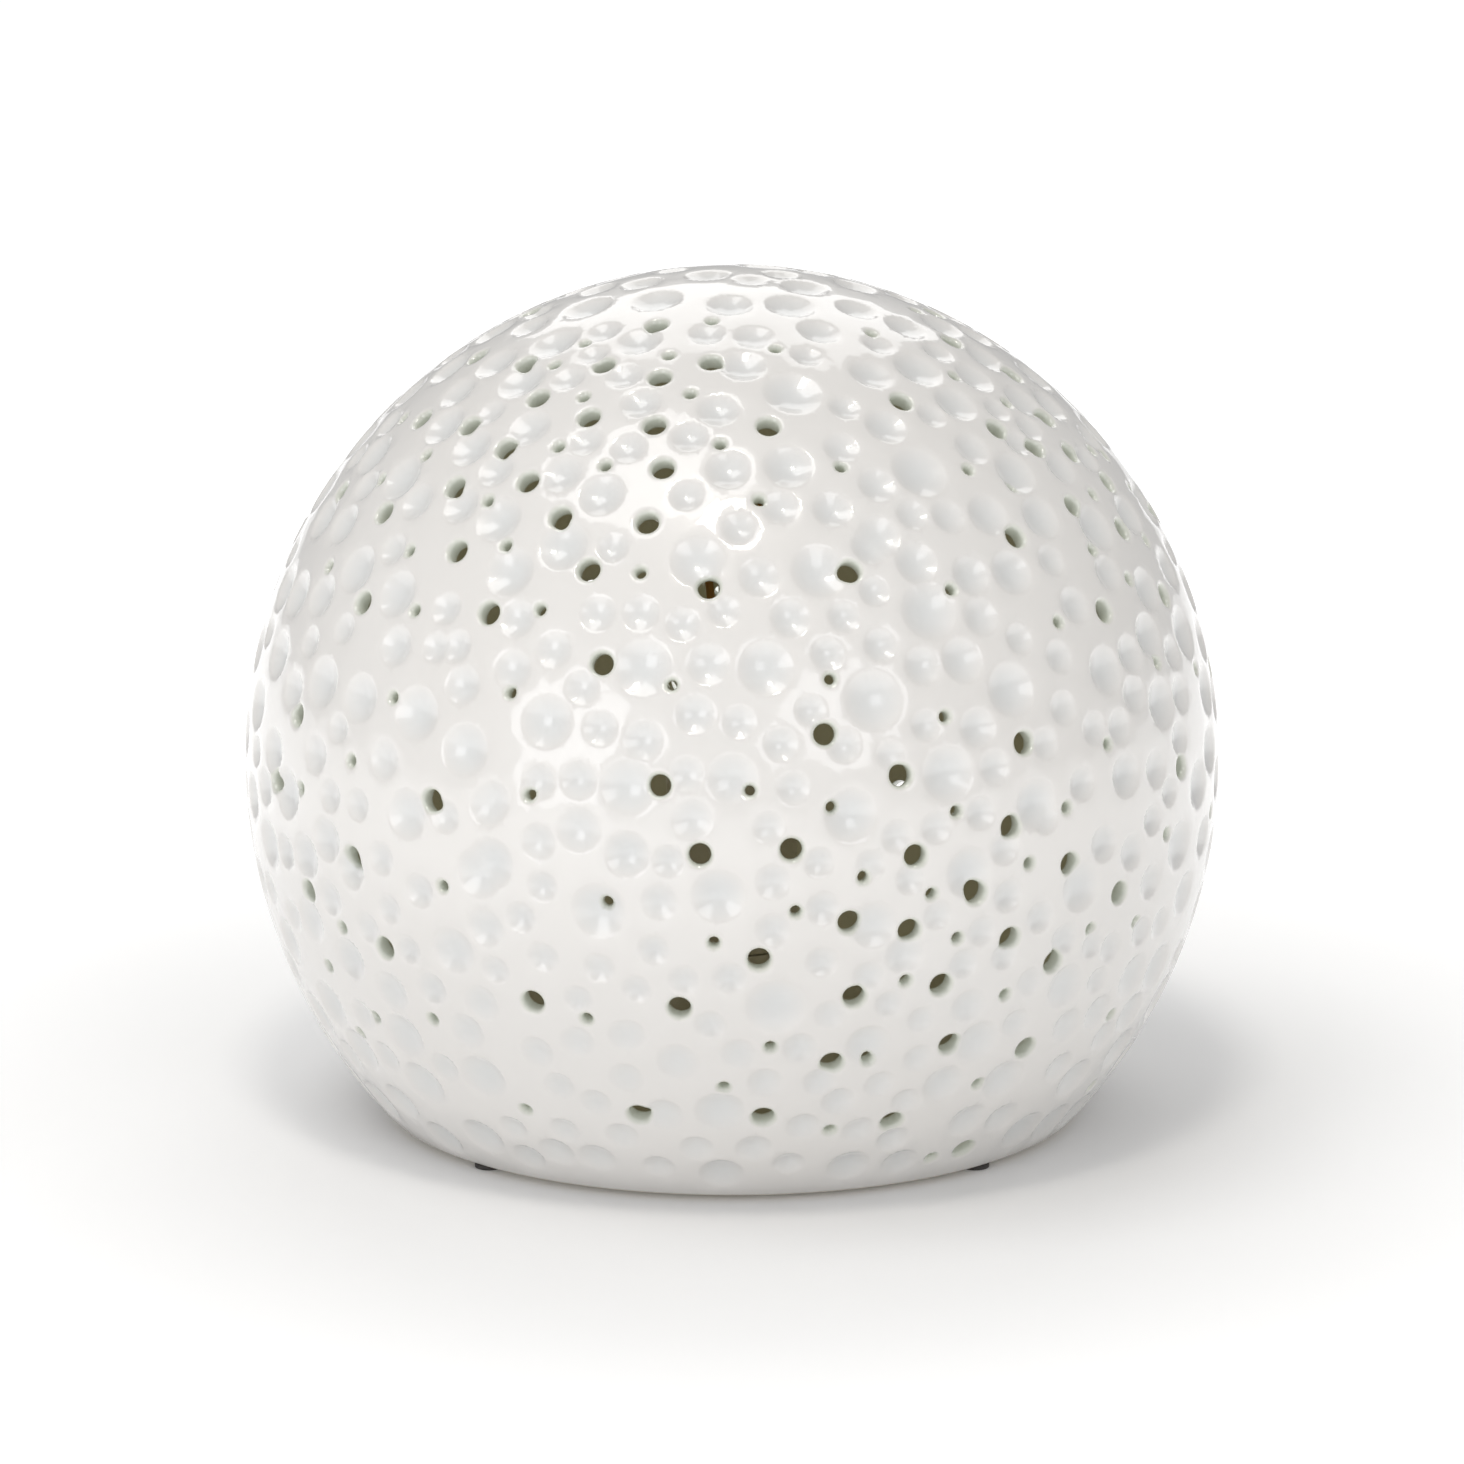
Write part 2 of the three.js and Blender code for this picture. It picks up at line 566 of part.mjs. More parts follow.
const socketBottom = wellFloor + SOCKET_THREAD_LIFT;
const socketTop = socketBottom + SOCKET_THREAD_HEIGHT;
const socketProfile = [
  ...threadRows(socketInner + THREAD_SHEET, socketBottom, socketTop).reverse(),
  ...threadRows(socketInner, socketBottom, socketTop),
];
const socketTube = turnedRing(socketProfile, THREAD_SEGMENTS);
add('screw_shell', 'nickel', threaded(socketTube, socketBottom, socketTop, 0));

// ---------------------------------------------------------------- contacts in the well

// A sprung leaf: a foot on the floor of the well and a tongue that reaches up to the bulb
function centreContact() {
  const foot = wellFloor + SEAM_GAP;
  const tongue = solderBottom - SEAM_GAP - LEAF_SHEET;
  const middle = (foot + tongue) / 2;
  const inner = -LEAF_REACH + LEAF_SHEET;
  const outline = [
    [-LEAF_REACH, foot], [LEAF_FOOT, foot], [LEAF_FOOT, foot + LEAF_SHEET], [inner, foot + LEAF_SHEET],
    [inner - LEAF_BEND, middle], [inner, tongue], [LEAF_REACH, tongue], [LEAF_REACH, tongue + LEAF_SHEET],
    [-LEAF_REACH, tongue + LEAF_SHEET], [-LEAF_REACH - LEAF_BEND, middle],
  ];
  const shape = new THREE.Shape(outline.map(([x, z]) => new THREE.Vector2(x, z)));
  const leaf = new THREE.ExtrudeGeometry(shape, { depth: LEAF_WIDTH, bevelEnabled: false });
  return leaf.translate(0, 0, -LEAF_WIDTH / 2).rotateX(Math.PI / 2);
}

add('centre_contact', 'brass', centreContact());

const tabOuter = wellRadius - 2 * SEAM_GAP;
const tabLow = [-tabOuter, -TAB_WIDTH / 2, wellFloor + SEAM_GAP];
const tabHigh = [-tabOuter + TAB_SHEET, TAB_WIDTH / 2, socketBottom - SEAM_GAP];
add('side_contact', 'brass', box(tabLow, tabHigh));

// ---------------------------------------------------------------- bulb cap

add('bulb_contact', 'solder', turned([
  [0, solderBottom + SOLDER_HEIGHT],
  [SOLDER_RADIUS, solderBottom + SOLDER_HEIGHT],
  [SOLDER_RADIUS * 0.8, solderBottom + SOLDER_HEIGHT * 0.4],
  [SOLDER_RADIUS * 0.4, solderBottom + SOLDER_HEIGHT * 0.08],
  [0, solderBottom],
], 16));

const insulatorTop = insulatorBottom + INSULATOR_HEIGHT;
add('bulb_insulator', 'blackGlass', turned([
  [0, insulatorTop],
  [THREAD_MEAN - THREAD_DEPTH, insulatorTop],
  [SOLDER_RADIUS + 1, insulatorBottom],
  [0, insulatorBottom],
], 20));

// Threaded sheet sleeve that opens into a plain skirt round the neck of the glass
function bulbCap() {
  const sleeveInner = THREAD_MEAN - THREAD_DEPTH - THREAD_SHEET;
  const cap = turnedRing([
    [skirtInner, capRim],
    [skirtRadius, capRim],
    [skirtRadius, capSkirt],
    ...threadRows(THREAD_MEAN, capBottom, capNeck).reverse(),
    [sleeveInner, capBottom],
    [sleeveInner, capNeck],
    [skirtInner, capSkirt],
  ], THREAD_SEGMENTS);
  return threaded(cap, capBottom, capNeck, THREAD_MEAN - THREAD_DEPTH);
}

add('bulb_cap', 'nickel', bulbCap());

// ---------------------------------------------------------------- bulb glass and stem

// Candle shape: a neck, a quarter ellipse out to the widest place, then a flame-shaped taper
function candleProfile(inset) {
  const neckBottom = capRim - GLASS_NECK_DEPTH;
  const neck = glassNeck - inset;
  const widest = GLASS_RADIUS - inset;
  const waist = capRim + GLASS_SHOULDER_RISE;
  const points = [[neck, neckBottom]];
  for (let step = 0; step <= 6; step += 1) {
    const share = step / 6;
    const swell = Math.sin(share * Math.PI / 2) ** GLASS_SWELL;
    points.push([neck + (widest - neck) * swell, capRim + (waist - capRim) * share]);
  }
  for (let step = 1; step <= 9; step += 1) {
    const share = step / 9;
    const taper = Math.cos(share * Math.PI / 2) ** GLASS_TAPER * (1 - GLASS_TIP_SHARE * share);
    points.push([widest * taper, waist + (GLASS_FLAME_RISE - inset) * share]);
  }
  points.at(-1)[0] = 0;
  return points;
}

const glassProfile = [...candleProfile(0).reverse(), ...candleProfile(GLASS_WALL)];
add('bulb_glass', 'clearGlass', turned(glassProfile, 20));

const stemTop = capRim + STEM_RISE;
const stemBottom = capRim - GLASS_NECK_DEPTH;
const stemFlare = glassNeck - GLASS_WALL - STEM_FLARE_GAP;
add('bulb_stem', 'clearGlass', turned([
  [0, stemTop],
  [STEM_RADIUS * 0.7, stemTop],
  [STEM_RADIUS, stemTop - STEM_PINCH],
  [STEM_RADIUS * 0.8, capRim + STEM_FLARE_RISE],
  [stemFlare, stemBottom + STEM_FLARE_EDGE],
  [stemFlare, stemBottom],
  [0, stemBottom],
], 16));

// ---------------------------------------------------------------- filaments and wires

// Lower and upper end of one filament; the four spread upwards like a sheaf
function filamentEnds(index) {
  const angle = THREE.MathUtils.degToRad(FILAMENT_TURN) + index * 2 * Math.PI / FILAMENT_COUNT;
  const spread = FILAMENT_HEAD - FILAMENT_FOOT;
  const rise = Math.sqrt(FILAMENT_LENGTH ** 2 - spread ** 2);
  const at = (radius, z) => [radius * Math.cos(angle), radius * Math.sin(angle), z];
  return [at(FILAMENT_FOOT, filamentBottom), at(FILAMENT_HEAD, filamentBottom + rise)];
}

for (let index = 0; index < FILAMENT_COUNT; index += 1) {
  const [low, high] = filamentEnds(index);
  add(`filament_${index + 1}`, 'phosphor', bar(low, high, FILAMENT_RADIUS, 8));
}

// Wires joined at one height into a star that reaches all filament ends at that height
function wireStar(endIndex, offset, hubFrom, hubTo) {
  let star = solidOf(bar([0, 0, hubFrom], [0, 0, hubTo], WIRE_RADIUS));
  for (let index = 0; index < FILAMENT_COUNT; index += 1) {
    const [x, y, z] = filamentEnds(index)[endIndex];
    const reach = 1 + FILAMENT_RADIUS / Math.hypot(x, y);
    const level = z + offset;
    star = star.add(solidOf(bar([0, 0, level], [x * reach, y * reach, level], WIRE_RADIUS)));
  }
  return star;
}

const wireOffset = WIRE_RADIUS + SEAM_GAP;
const filamentTop = filamentEnds(0)[1][2];
add('lower_wires', 'nickel', wireStar(0, -wireOffset, stemTop + SEAM_GAP / 2, filamentBottom - SEAM_GAP));
const wireTop = filamentTop + wireOffset + WIRE_RADIUS;
add('upper_wires', 'nickel', wireStar(1, wireOffset, filamentTop - WIRE_DROP, wireTop));

export default lamp;
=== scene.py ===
"""Pierced porcelain globe table lamp: a loose glazed globe over a steel base with a candle bulb."""

import math

import bpy
import numpy as np
from mathutils.geometry import delaunay_2d_cdt
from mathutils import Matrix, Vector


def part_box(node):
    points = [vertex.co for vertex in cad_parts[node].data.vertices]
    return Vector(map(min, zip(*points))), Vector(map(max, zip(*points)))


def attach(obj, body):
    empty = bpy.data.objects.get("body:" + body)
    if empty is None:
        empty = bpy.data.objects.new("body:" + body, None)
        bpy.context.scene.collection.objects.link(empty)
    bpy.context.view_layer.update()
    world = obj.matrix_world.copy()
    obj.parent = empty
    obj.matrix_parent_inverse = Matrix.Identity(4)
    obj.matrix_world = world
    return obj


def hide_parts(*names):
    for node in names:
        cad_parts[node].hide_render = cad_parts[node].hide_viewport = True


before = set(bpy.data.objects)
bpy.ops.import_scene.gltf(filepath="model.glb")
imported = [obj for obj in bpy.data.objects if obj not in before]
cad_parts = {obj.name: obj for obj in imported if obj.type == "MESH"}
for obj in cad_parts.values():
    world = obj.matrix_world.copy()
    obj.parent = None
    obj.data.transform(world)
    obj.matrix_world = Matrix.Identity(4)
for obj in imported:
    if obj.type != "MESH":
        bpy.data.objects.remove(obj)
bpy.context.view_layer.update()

# ---------------------------------------------------------------- porcelain globe
# Slip-cast in two like halves, pressed all over with round-ended tools, pierced with two sizes
# of cutter while soft, then dipped in clear glaze. The ring it stands on is wiped bare.

mm = 0.001
globe_low, globe_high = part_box("porcelain_globe")

# Body, foot and notch for the cord. It is half of one ellipsoid above the equator, half of
# another below, and cut off flat at the foot.
EQUATOR = 73.5 * mm              # above the table
RADIUS = globe_high.x
CROWN = globe_high.z - EQUATOR   # semi-axis up
BELLY = 104.8 * mm               # semi-axis down
WALL = 3.5 * mm
FOOT_BOTTOM = globe_low.z
FOOT_OUTER = RADIUS * math.sqrt(1 - ((EQUATOR - FOOT_BOTTOM) / BELLY) ** 2)
FOOT_LAND = 6.6 * mm
FOOT_INNER = FOOT_OUTER - FOOT_LAND
FOOT_ROUND = 0.8 * mm
FOOT_EDGE_IN = 0.15 * mm         # the rounded edge of the foot, partway round
FOOT_EDGE_UP = 0.3 * mm
FOOT_EDGE_BARE = 0.4             # how far the glaze has been wiped off there
RIB_TOP = FOOT_BOTTOM + 7 * mm
RIB_KNEE = FOOT_BOTTOM + 7 / 3 * mm
NOTCH_HALF = 6 * mm
NOTCH_TOP = FOOT_BOTTOM + 11 * mm
NOTCH_CORNER = 1.5 * mm

# Holes
HOLE_BORE = 2.05 * mm            # radius
HOLE_FLARE = 3 * mm              # radius where the glazed edge meets the surface
PINHOLE_BORE = 0.92 * mm
PINHOLE_FLARE = 2 * mm
BORE_SPREAD = 0.35 * mm          # added to a hole's radius at the inside of the wall
LIP_SHARE = 0.9                  # how deep the glazed edge goes, for the width of the flare
LIP_DEPTH = 0.25 * mm            # and over and above that
LIP_TURNS = (40, 90)             # degrees round the lip to its rings of points
LIP_INSIDE_SHADE_SHARE = 0.35                # how far the painted shade and painted glow of the inside have begun by the end of the lip

# Dimples
RIM_SOFTNESS = 0.13 * mm         # how gently a dimple meets the surface round it
BOWL_DEPTH = 0.4                 # a dimple's depth for its radius
BOWL_SPREAD = (0.85, 1.1)
DEEPEST = 2 * mm                 # so that enough wall is left under a wide dimple
EDGE_DEPTH_SHARE = 0.4           # of a dimple's depth, where it runs out over the foot or the notch
THROWS = 9000                    # dimples tried at random where there are none yet
THROWN_RADII = (3, 3.3, 5.6)     # mm: the least, the commonest and the greatest
DIMPLE_GAP = 0.45 * mm           # least land between two dimples thrown at random
DIMPLE_TO_HOLE = 0.8 * mm        # from the edge of such a dimple to the middle of a hole
LOWEST_DIMPLE = -42              # degrees
PORCELAIN_SEED = 11

# Points of the mesh
FOOT_STEPS = 280
HOLE_STEPS = 20
PINHOLE_STEPS = 12
BORE_RING = 0.85                 # share of the way in from the lip to one more ring
HOLE_MARGIN = 0.32 * mm          # between a hole's flare and the nearest other point
COLLAR = 0.75 * mm               # from a hole's flare to a ring of points round it
WIDE_DIMPLE = 4.4 * mm           # radius from which a dimple's rings get more points
RIM_BAND = 0.45 * mm             # from a dimple's rim to the rings either side of it
OVERLAP_DEPTH = 0.12 * mm        # a ring's point is kept inside another dimple down to this depth
OUTER_FILL = 2.4 * mm            # spacing of the points between the dimples
FILL_TO_HOLE = 1.3 * mm
FILL_TO_DIMPLE = 1.2 * mm
INNER_FILL = 5 * mm
INNER_FILL_TO_HOLE = 0.9 * mm

# Rings of points on each dimple, from its rim to its middle: share of its radius, what is added
# to that, and the number of points on a small one and on a wide one
DIMPLE_RINGS = [
    (1, RIM_BAND, 17, 23), (1, 0, 17, 23), (1, -RIM_BAND, 15, 21), (0.62, 0, 9, 14), (0.3, 0, 5, 7),
]

# Cut through: degrees round from the front and degrees up, on one half of the mould
HOLES = [
    (-73.5, 58), (-53, 59.5), (-31, 61), (-25, 69.5), (-16, 59.5), (-5, 62.5), (68.5, 62),
    (-66.5, 48), (-51.5, 49), (-40.5, 54.5), (-40, 47), (-27, 52.5), (-14, 52), (-11, 46),
    (6.5, 52), (34.5, 54.5), (51.5, 48.5), (57.5, 45), (68.5, 48), (74.5, 54.5), (66.5, 43),
    (-75, 36), (-57.5, 36), (-45.5, 41), (-39.5, 33.5), (-32.5, 43), (-25, 39), (-12, 39),
    (-19, 33), (-3, 31.5), (15.5, 33), (42, 35), (57, 37), (71.5, 38), (66.5, 32.5),
    (-53, 25.5), (-31.5, 27), (-15.5, 22.5), (53, 24.5), (70, 23.5),
    (-61, 11), (-8, 9.5), (10.5, 15), (19, 10), (35, 12),
    (-65.5, 2.5), (-48, -3), (-35.5, 5.5), (-3.5, 2), (6.5, 2.5), (20.5, 1), (32.5, 3),
    (63.5, 4.5), (41, -2.5), (28, -4), (13, -6), (20, -7.5), (50, -7.5),
    (-58, -9), (-44, -13), (3, -10), (14, -15), (24.5, -14.5), (33, -10), (40, -14),
    (-23.5, -16.5), (-6, -16), (12, -23.5), (27, -22.5), (39, -25),
    (-12, -31), (4, -31), (21.5, -33), (36, -40),
    (88, 31), (92, -16), (84, 12), (86, -33), (89, 66),
]
PINHOLES = [
    (-7, 71), (-42, 64.5), (-44, 60), (-16, 63.5), (-8.5, 57), (-30.5, 55.5), (-2, 49.5),
    (-30, 48), (-20.5, 46), (-38, 40), (-12, 33), (-24.5, 28), (-7, 20.5), (-26.5, 18.5),
    (-23, 7.5), (-32, 35), (11.5, 65), (4, 42), (17.5, 46), (43.5, 66.5), (80, 68), (53.5, 57),
    (39.5, 44), (60.5, 51.5), (75, 42), (79.5, 40.5), (64, 37.5), (46.5, 41), (56, 31.5),
    (72.5, 30), (80.5, 35.5), (61.5, 27), (44, 24.5), (61.5, 17), (48, 10), (73.5, 14),
    (40.5, 4), (35, -1.5), (45.5, -11), (54.5, -12), (76, -3.5), (33.5, -17), (55, -24),
    (59.5, -2.5), (33, -29), (30.5, -40.5), (62, -36), (4.5, -21), (16.5, -23.5), (13, -33.5),
    (-1, -26.5), (-28, -32), (-38.5, -21), (-55, -26.5), (-49.5, -23), (-34, -4), (-51.5, -12),
    (-57, -18), (-58.5, 3), (-64.5, 28), (-43, 26), (-48, 32.5), (-43, 16), (-48.5, 8),
    (-56.5, 44), (-64, 39.5), (-74, 47), (29, 30), (11.5, 21), (25, 16), (2, 9), (11, 7),
    (25.5, 5.5), (14.5, -1), (22.5, -3.5), (7, -4.5), (26, -9), (20, -13.5), (-14, -4),
    (-2, -8), (-17, -18),
]
# Pressed in: the same two angles, and the width of the dimple in mm
DIMPLES = [
    (-21.5, 15.7, 10.5), (-10.5, 22.3, 11.5), (-4.5, 34.5, 10.5), (-2.8, 22.8, 8.5),
    (-21.7, 23.6, 7.5), (-16.8, 28, 7.5), (-11.3, 28.3, 7.5), (-6, 27.2, 7), (-1, 28.8, 6.5),
    (-26.6, 21, 8), (-17.6, 19.7, 7), (-15, 15.4, 7), (-10, 14.3, 8), (-4.2, 17.3, 8),
    (-21.9, 9.1, 7), (-17.2, 9.6, 7.5), (-11.5, 9.2, 11), (-5, 10.8, 7), (4, 22.4, 11),
    (16.5, 18.4, 12), (25.2, 27.8, 12), (7.2, 27.9, 8), (3.5, 32.6, 8), (11.4, 33.2, 11),
    (19, 35.8, 8), (18.3, 30.5, 6.3), (13.9, 27.8, 6.5), (18, 24.4, 6.8), (11.5, 23.7, 7),
    (23, 21.7, 7.8), (25, 33.4, 9), (28.3, 22, 9), (9, 17.6, 6.3), (0.8, 16.5, 6.8),
    (5.5, 14, 6.8), (12.7, 13.6, 6.8), (18, 12.3, 6), (22.5, 15.2, 6.3), (24.7, 9.7, 11),
    (0, 10.3, 10), (6.8, 9.2, 6.5), (13.1, 6, 10.5), (4, 5, 6.3), (18.3, 3.4, 6.3), (23, 4, 6.5),
    (27, -1.5, 10), (4.5, -1, 7), (9.5, 1, 6), (15.3, 0.5, 6), (10, -4.2, 6.8), (4.5, -6.6, 7),
    (15.8, -6.5, 9.5), (23.3, -6, 6.2), (10, -10.5, 6.5), (5, -15.8, 12), (15.5, -12.5, 6.5),
    (18.2, -16.2, 6), (11.3, -17, 6.5), (22.5, -18.6, 6), (-17, 4.2, 9), (-21.7, 2.5, 7.3),
    (-11.5, 1.8, 9), (-4.3, 5.9, 8), (-6.9, 1.2, 6.3), (-14.8, -4.8, 11), (-8, -3.4, 7.2),
    (-21.3, -2.5, 6.2), (-1.5, -2.6, 10.5), (-8.7, -9, 6.3), (-21.6, -10.8, 6.5),
    (-15, -11.5, 6.2), (-5.4, -12.5, 6.3), (-10.8, -13.8, 6), (-17.8, -15.5, 6), (-27.8, -13, 6),
    (-24, -6.3, 6.3), (-2.5, -18, 6.3), (-12, -19.5, 6.5), (-27.5, 6.5, 8), (-27.5, -0.5, 10),
    (-31.5, 11.6, 10.5), (-39, 14.7, 11), (-48.5, 15, 10), (-33, 18.6, 8), (-35, 22.8, 7),
    (-38, 22.3, 6.5), (-38, 26.8, 7), (-43, 9, 8), (-55.5, 7.5, 8), (-39, 3.5, 10),
    (-29, -1.8, 10), (-28, 5.8, 8), (-33.5, 4, 6.5), (-43, -2.2, 7), (-37.3, -5, 7),
    (-42.3, -8, 6.5), (-46.5, -11, 7), (-48.3, -4.5, 8), (-40, -12.5, 6.3), (-33.3, -11.5, 10),
    (-44.5, -18.5, 9), (-37.5, -16.8, 7.5), (-30.5, -17.5, 8), (-46.8, 3.3, 6.5),
    (34.3, 18, 11), (39, 31, 9.5), (32.5, 31.3, 8.5), (32.2, 26.5, 8), (37, 23.4, 6.5),
    (42.5, 20.7, 7), (50, 18, 10), (55.5, 19, 8), (28.5, 21.5, 8), (41.5, 15, 7), (46, 12, 7),
    (29, 14.3, 8), (30.7, 9.8, 7), (36, 5, 10), (43, 6.3, 7), (50.7, 6, 9), (57, 5.6, 8),
    (38, 11.5, 6.5), (54.5, 14.5, 8), (46.5, 31.5, 7), (43, -5.5, 10.5), (37.3, 3.3, 6.5),
    (37, -8, 7), (32.2, -4.8, 7), (46.5, -1, 8), (51.8, -3, 8), (56.5, -7.5, 8), (28.5, 5, 6.5),
    (29, -8.5, 6.5), (32.5, -12, 6.5), (43, -17.5, 10), (36.8, -15.8, 6.5), (46.3, -13, 6.5),
    (50, -14, 7), (56.3, -13.5, 7), (61, -13.5, 7), (36, -21, 6.5), (16.2, -21.3, 9),
    (8, -21.2, 7), (0.8, -21.8, 7), (4, -25.8, 7), (10.8, -26, 7), (18.5, -27, 6.5),
    (23, -23.8, 6.5), (13.5, -29, 7), (-1.5, -30, 10), (3, -36, 7.5), (17, -33.8, 7),
    (8, -38.8, 6.5), (22.5, -36, 7), (17, -40, 9), (27.5, -28, 9), (-6.5, -23, 8.5),
    (-12.5, -19.8, 7.3), (-18.5, -21, 7), (-24, -23, 7), (-13, -25.5, 7), (-22, -27.5, 6.5),
    (-17.5, -29.5, 6.5), (-14.8, -34.5, 7), (-23, -34.5, 6.5), (-4.8, -36, 7), (-19.5, -38.8, 8),
    (-10.5, -39.5, 6.5), (-1.5, -40.5, 9), (9, 46.3, 10), (14.5, 40.5, 8), (30.5, 44.5, 12),
    (22.5, 43.3, 8), (26.5, 39.2, 7), (20.5, 36.8, 9), (7, 41, 7.5), (-0.5, 46, 9), (12.5, 57, 12),
    (18.5, 48.5, 7.5), (27, 68, 9), (1, 38.5, 7), (48.5, 42.5, 10),
]


def both_halves(rows):
    """The rows of one half of the mould, and the same rows turned half a turn round the globe."""
    first = np.array(rows, float)
    second = first.copy()
    second[:, 0] += 180
    return np.vstack([first, second])


def rays_at(longitude, latitude):
    """Unit rays out of the middle of the equator: sine and cosine of the angle round from the
    front, shrunk by the cosine of the angle up, whose sine is the height."""
    lon, lat = np.radians(longitude), np.radians(latitude)
    return np.stack([np.sin(lon) * np.cos(lat), -np.cos(lon) * np.cos(lat), np.sin(lat)], -1)


def semi_axes(rays, inset=0.0):
    """Semi-axes of the half ellipsoid that each ray meets, less the inset."""
    rise = np.where(rays[..., 2] >= 0, CROWN, BELLY)
    return np.stack([np.full(rise.shape, RADIUS), np.full(rise.shape, RADIUS), rise], -1) - inset


def skin(rays, inset=0.0):
    """Where rays meet the globe: each is divided by its length in units of the semi-axes."""
    return rays / np.linalg.norm(rays / semi_axes(rays, inset), axis=-1, keepdims=True)


def outward(points):
    """Square to the ellipsoid: each coordinate over its semi-axis squared, made a unit long."""
    slope = points / semi_axes(points) ** 2
    return slope / np.linalg.norm(slope, axis=-1, keepdims=True)


def unit(vectors):
    """Each vector over its own length."""
    return vectors / np.linalg.norm(vectors, axis=-1, keepdims=True)


def circles(centres, radii, steps, turn=0.0):
    """Rings of points round each centre, in the plane that touches the globe there: two square
    directions in that plane, mixed by cosine and sine, times the radius."""
    normals = outward(centres)
    along = unit(np.cross([0.0, 0.0, 1.0], normals))
    up = np.cross(normals, along)
    angle = 2 * math.pi * (np.arange(steps) + turn) / steps
    spokes = np.cos(angle)[:, None] * along[:, None] + np.sin(angle)[:, None] * up[:, None]
    return centres[:, None] + np.reshape(radii, (-1, 1, 1)) * spokes


rng = np.random.default_rng(PORCELAIN_SEED)
hole_rows = both_halves(HOLES)
pin_rows = both_halves(PINHOLES)
pierced = skin(rays_at(np.r_[hole_rows[:, 0], pin_rows[:, 0]], np.r_[hole_rows[:, 1], pin_rows[:, 1]]))
big = np.arange(len(pierced)) < len(hole_rows)
bore_radius = np.where(big, HOLE_BORE, PINHOLE_BORE)
flare_radius = np.where(big, HOLE_FLARE, PINHOLE_FLARE)

# The dimples that are set out above, then others thrown at random and kept where there is room
pressed = both_halves(DIMPLES)
dimple_at = skin(rays_at(pressed[:, 0], pressed[:, 1]))
dimple_radius = pressed[:, 2] / 2 * mm
thrown_height = rng.uniform(math.sin(math.radians(LOWEST_DIMPLE)), 1, THROWS)
thrown = skin(rays_at(rng.uniform(-180, 180, THROWS), np.degrees(np.arcsin(thrown_height))))
thrown_radius = np.sort(rng.triangular(*THROWN_RADII, THROWS))[::-1] * mm
for spot, radius in zip(thrown, thrown_radius):
    room = np.linalg.norm(dimple_at - spot, axis=1) > dimple_radius + radius + DIMPLE_GAP
    hole_gap = np.linalg.norm(pierced - spot, axis=1)
    if room.all() and (hole_gap > radius + DIMPLE_TO_HOLE).all():
        dimple_at = np.vstack([dimple_at, spot])
        dimple_radius = np.append(dimple_radius, radius)
dimple_depth = BOWL_DEPTH * dimple_radius * rng.uniform(*BOWL_SPREAD, len(dimple_radius))
dimple_depth = np.minimum(dimple_depth, DEEPEST)


def dimpled(points):
    """How deep the dimples are below each point, and which one is deepest there. One dimple is a
    paraboloid: its depth times one less the square of distance over radius. Neighbours and the
    flat land join by a smooth maximum, which adds the square of what is left of the softness,
    after their difference, over four times the softness."""
    depth = np.zeros(len(points))
    best = np.full(len(points), -np.inf)
    owner = np.full(len(points), -1)
    for index, (centre, radius, sunk) in enumerate(zip(dimple_at, dimple_radius, dimple_depth)):
        bowl = sunk * (1 - np.sum((points - centre) ** 2, -1) / radius ** 2)
        overlap = np.maximum(0, RIM_SOFTNESS - np.abs(depth - bowl)) ** 2 / (4 * RIM_SOFTNESS)
        depth = np.maximum(depth, bowl) + overlap
        owner = np.where(bowl > best, index, owner)
        best = np.maximum(best, bowl)
    return depth, owner


def clear_of_openings(points, margin):
    """True where a point is outside every hole's flare, the cord notch and the foot ring."""
    keep = points[:, 2] + EQUATOR > FOOT_BOTTOM + FOOT_ROUND + 2 * margin
    for centre, flare in zip(pierced, flare_radius):
        keep &= np.linalg.norm(points - centre, axis=1) > flare + margin
    in_notch = (np.abs(points[:, 0]) < NOTCH_HALF + 2 * margin) & (points[:, 1] > 0)
    return keep & ~(in_notch & (points[:, 2] + EQUATOR < NOTCH_TOP + 2 * margin))


def lattice(spacing):
    """Evenly spread points: heights in equal steps, each a golden angle round from the last."""
    count = int(4 * math.pi * RADIUS ** 2 / spacing ** 2)
    height = 1 - 2 * (np.arange(count) + 0.5) / count
    turn = np.degrees(np.arange(count) * math.pi * (3 - math.sqrt(5)))
    return skin(rays_at(turn, np.degrees(np.arcsin(height))))


def inner_radius(height):
    """Radius of the inside at a height above the table: upright at the foot, sloping out over
    the rib, then the inner ellipsoid's radius times the root of one less its height squared."""
    at_rib = (RADIUS - WALL) * math.sqrt(1 - ((EQUATOR - RIB_TOP) / (BELLY - WALL)) ** 2)
    foot_part = np.interp(height, [FOOT_BOTTOM, RIB_KNEE, RIB_TOP], [FOOT_INNER, FOOT_INNER, at_rib])
    share = np.clip((EQUATOR - height) / (BELLY - WALL), -1, 1)
    return np.where(height < RIB_TOP, foot_part, (RADIUS - WALL) * np.sqrt(1 - share ** 2))


def outer_radius(height):
    """Radius of the outside below the equator, from the ellipsoid."""
    return RADIUS * np.sqrt(1 - ((EQUATOR - height) / BELLY) ** 2)


def inside_skin(rays):
    """Where rays meet the inside: the inner ellipsoid, and below the rib the foot, whose distance
    along a ray is read off its profile at the ray's own angle."""
    height = np.linspace(FOOT_BOTTOM, RIB_TOP, 24)
    radius = inner_radius(height)
    foot_angle = np.arctan2(height - EQUATOR, radius)
    ray_angle = np.arcsin(rays[:, 2])
    reach = np.interp(ray_angle, foot_angle, np.hypot(radius, height - EQUATOR))
    in_foot = ray_angle < foot_angle[-1]
    return np.where(in_foot[:, None], rays * reach[:, None], skin(rays, WALL))


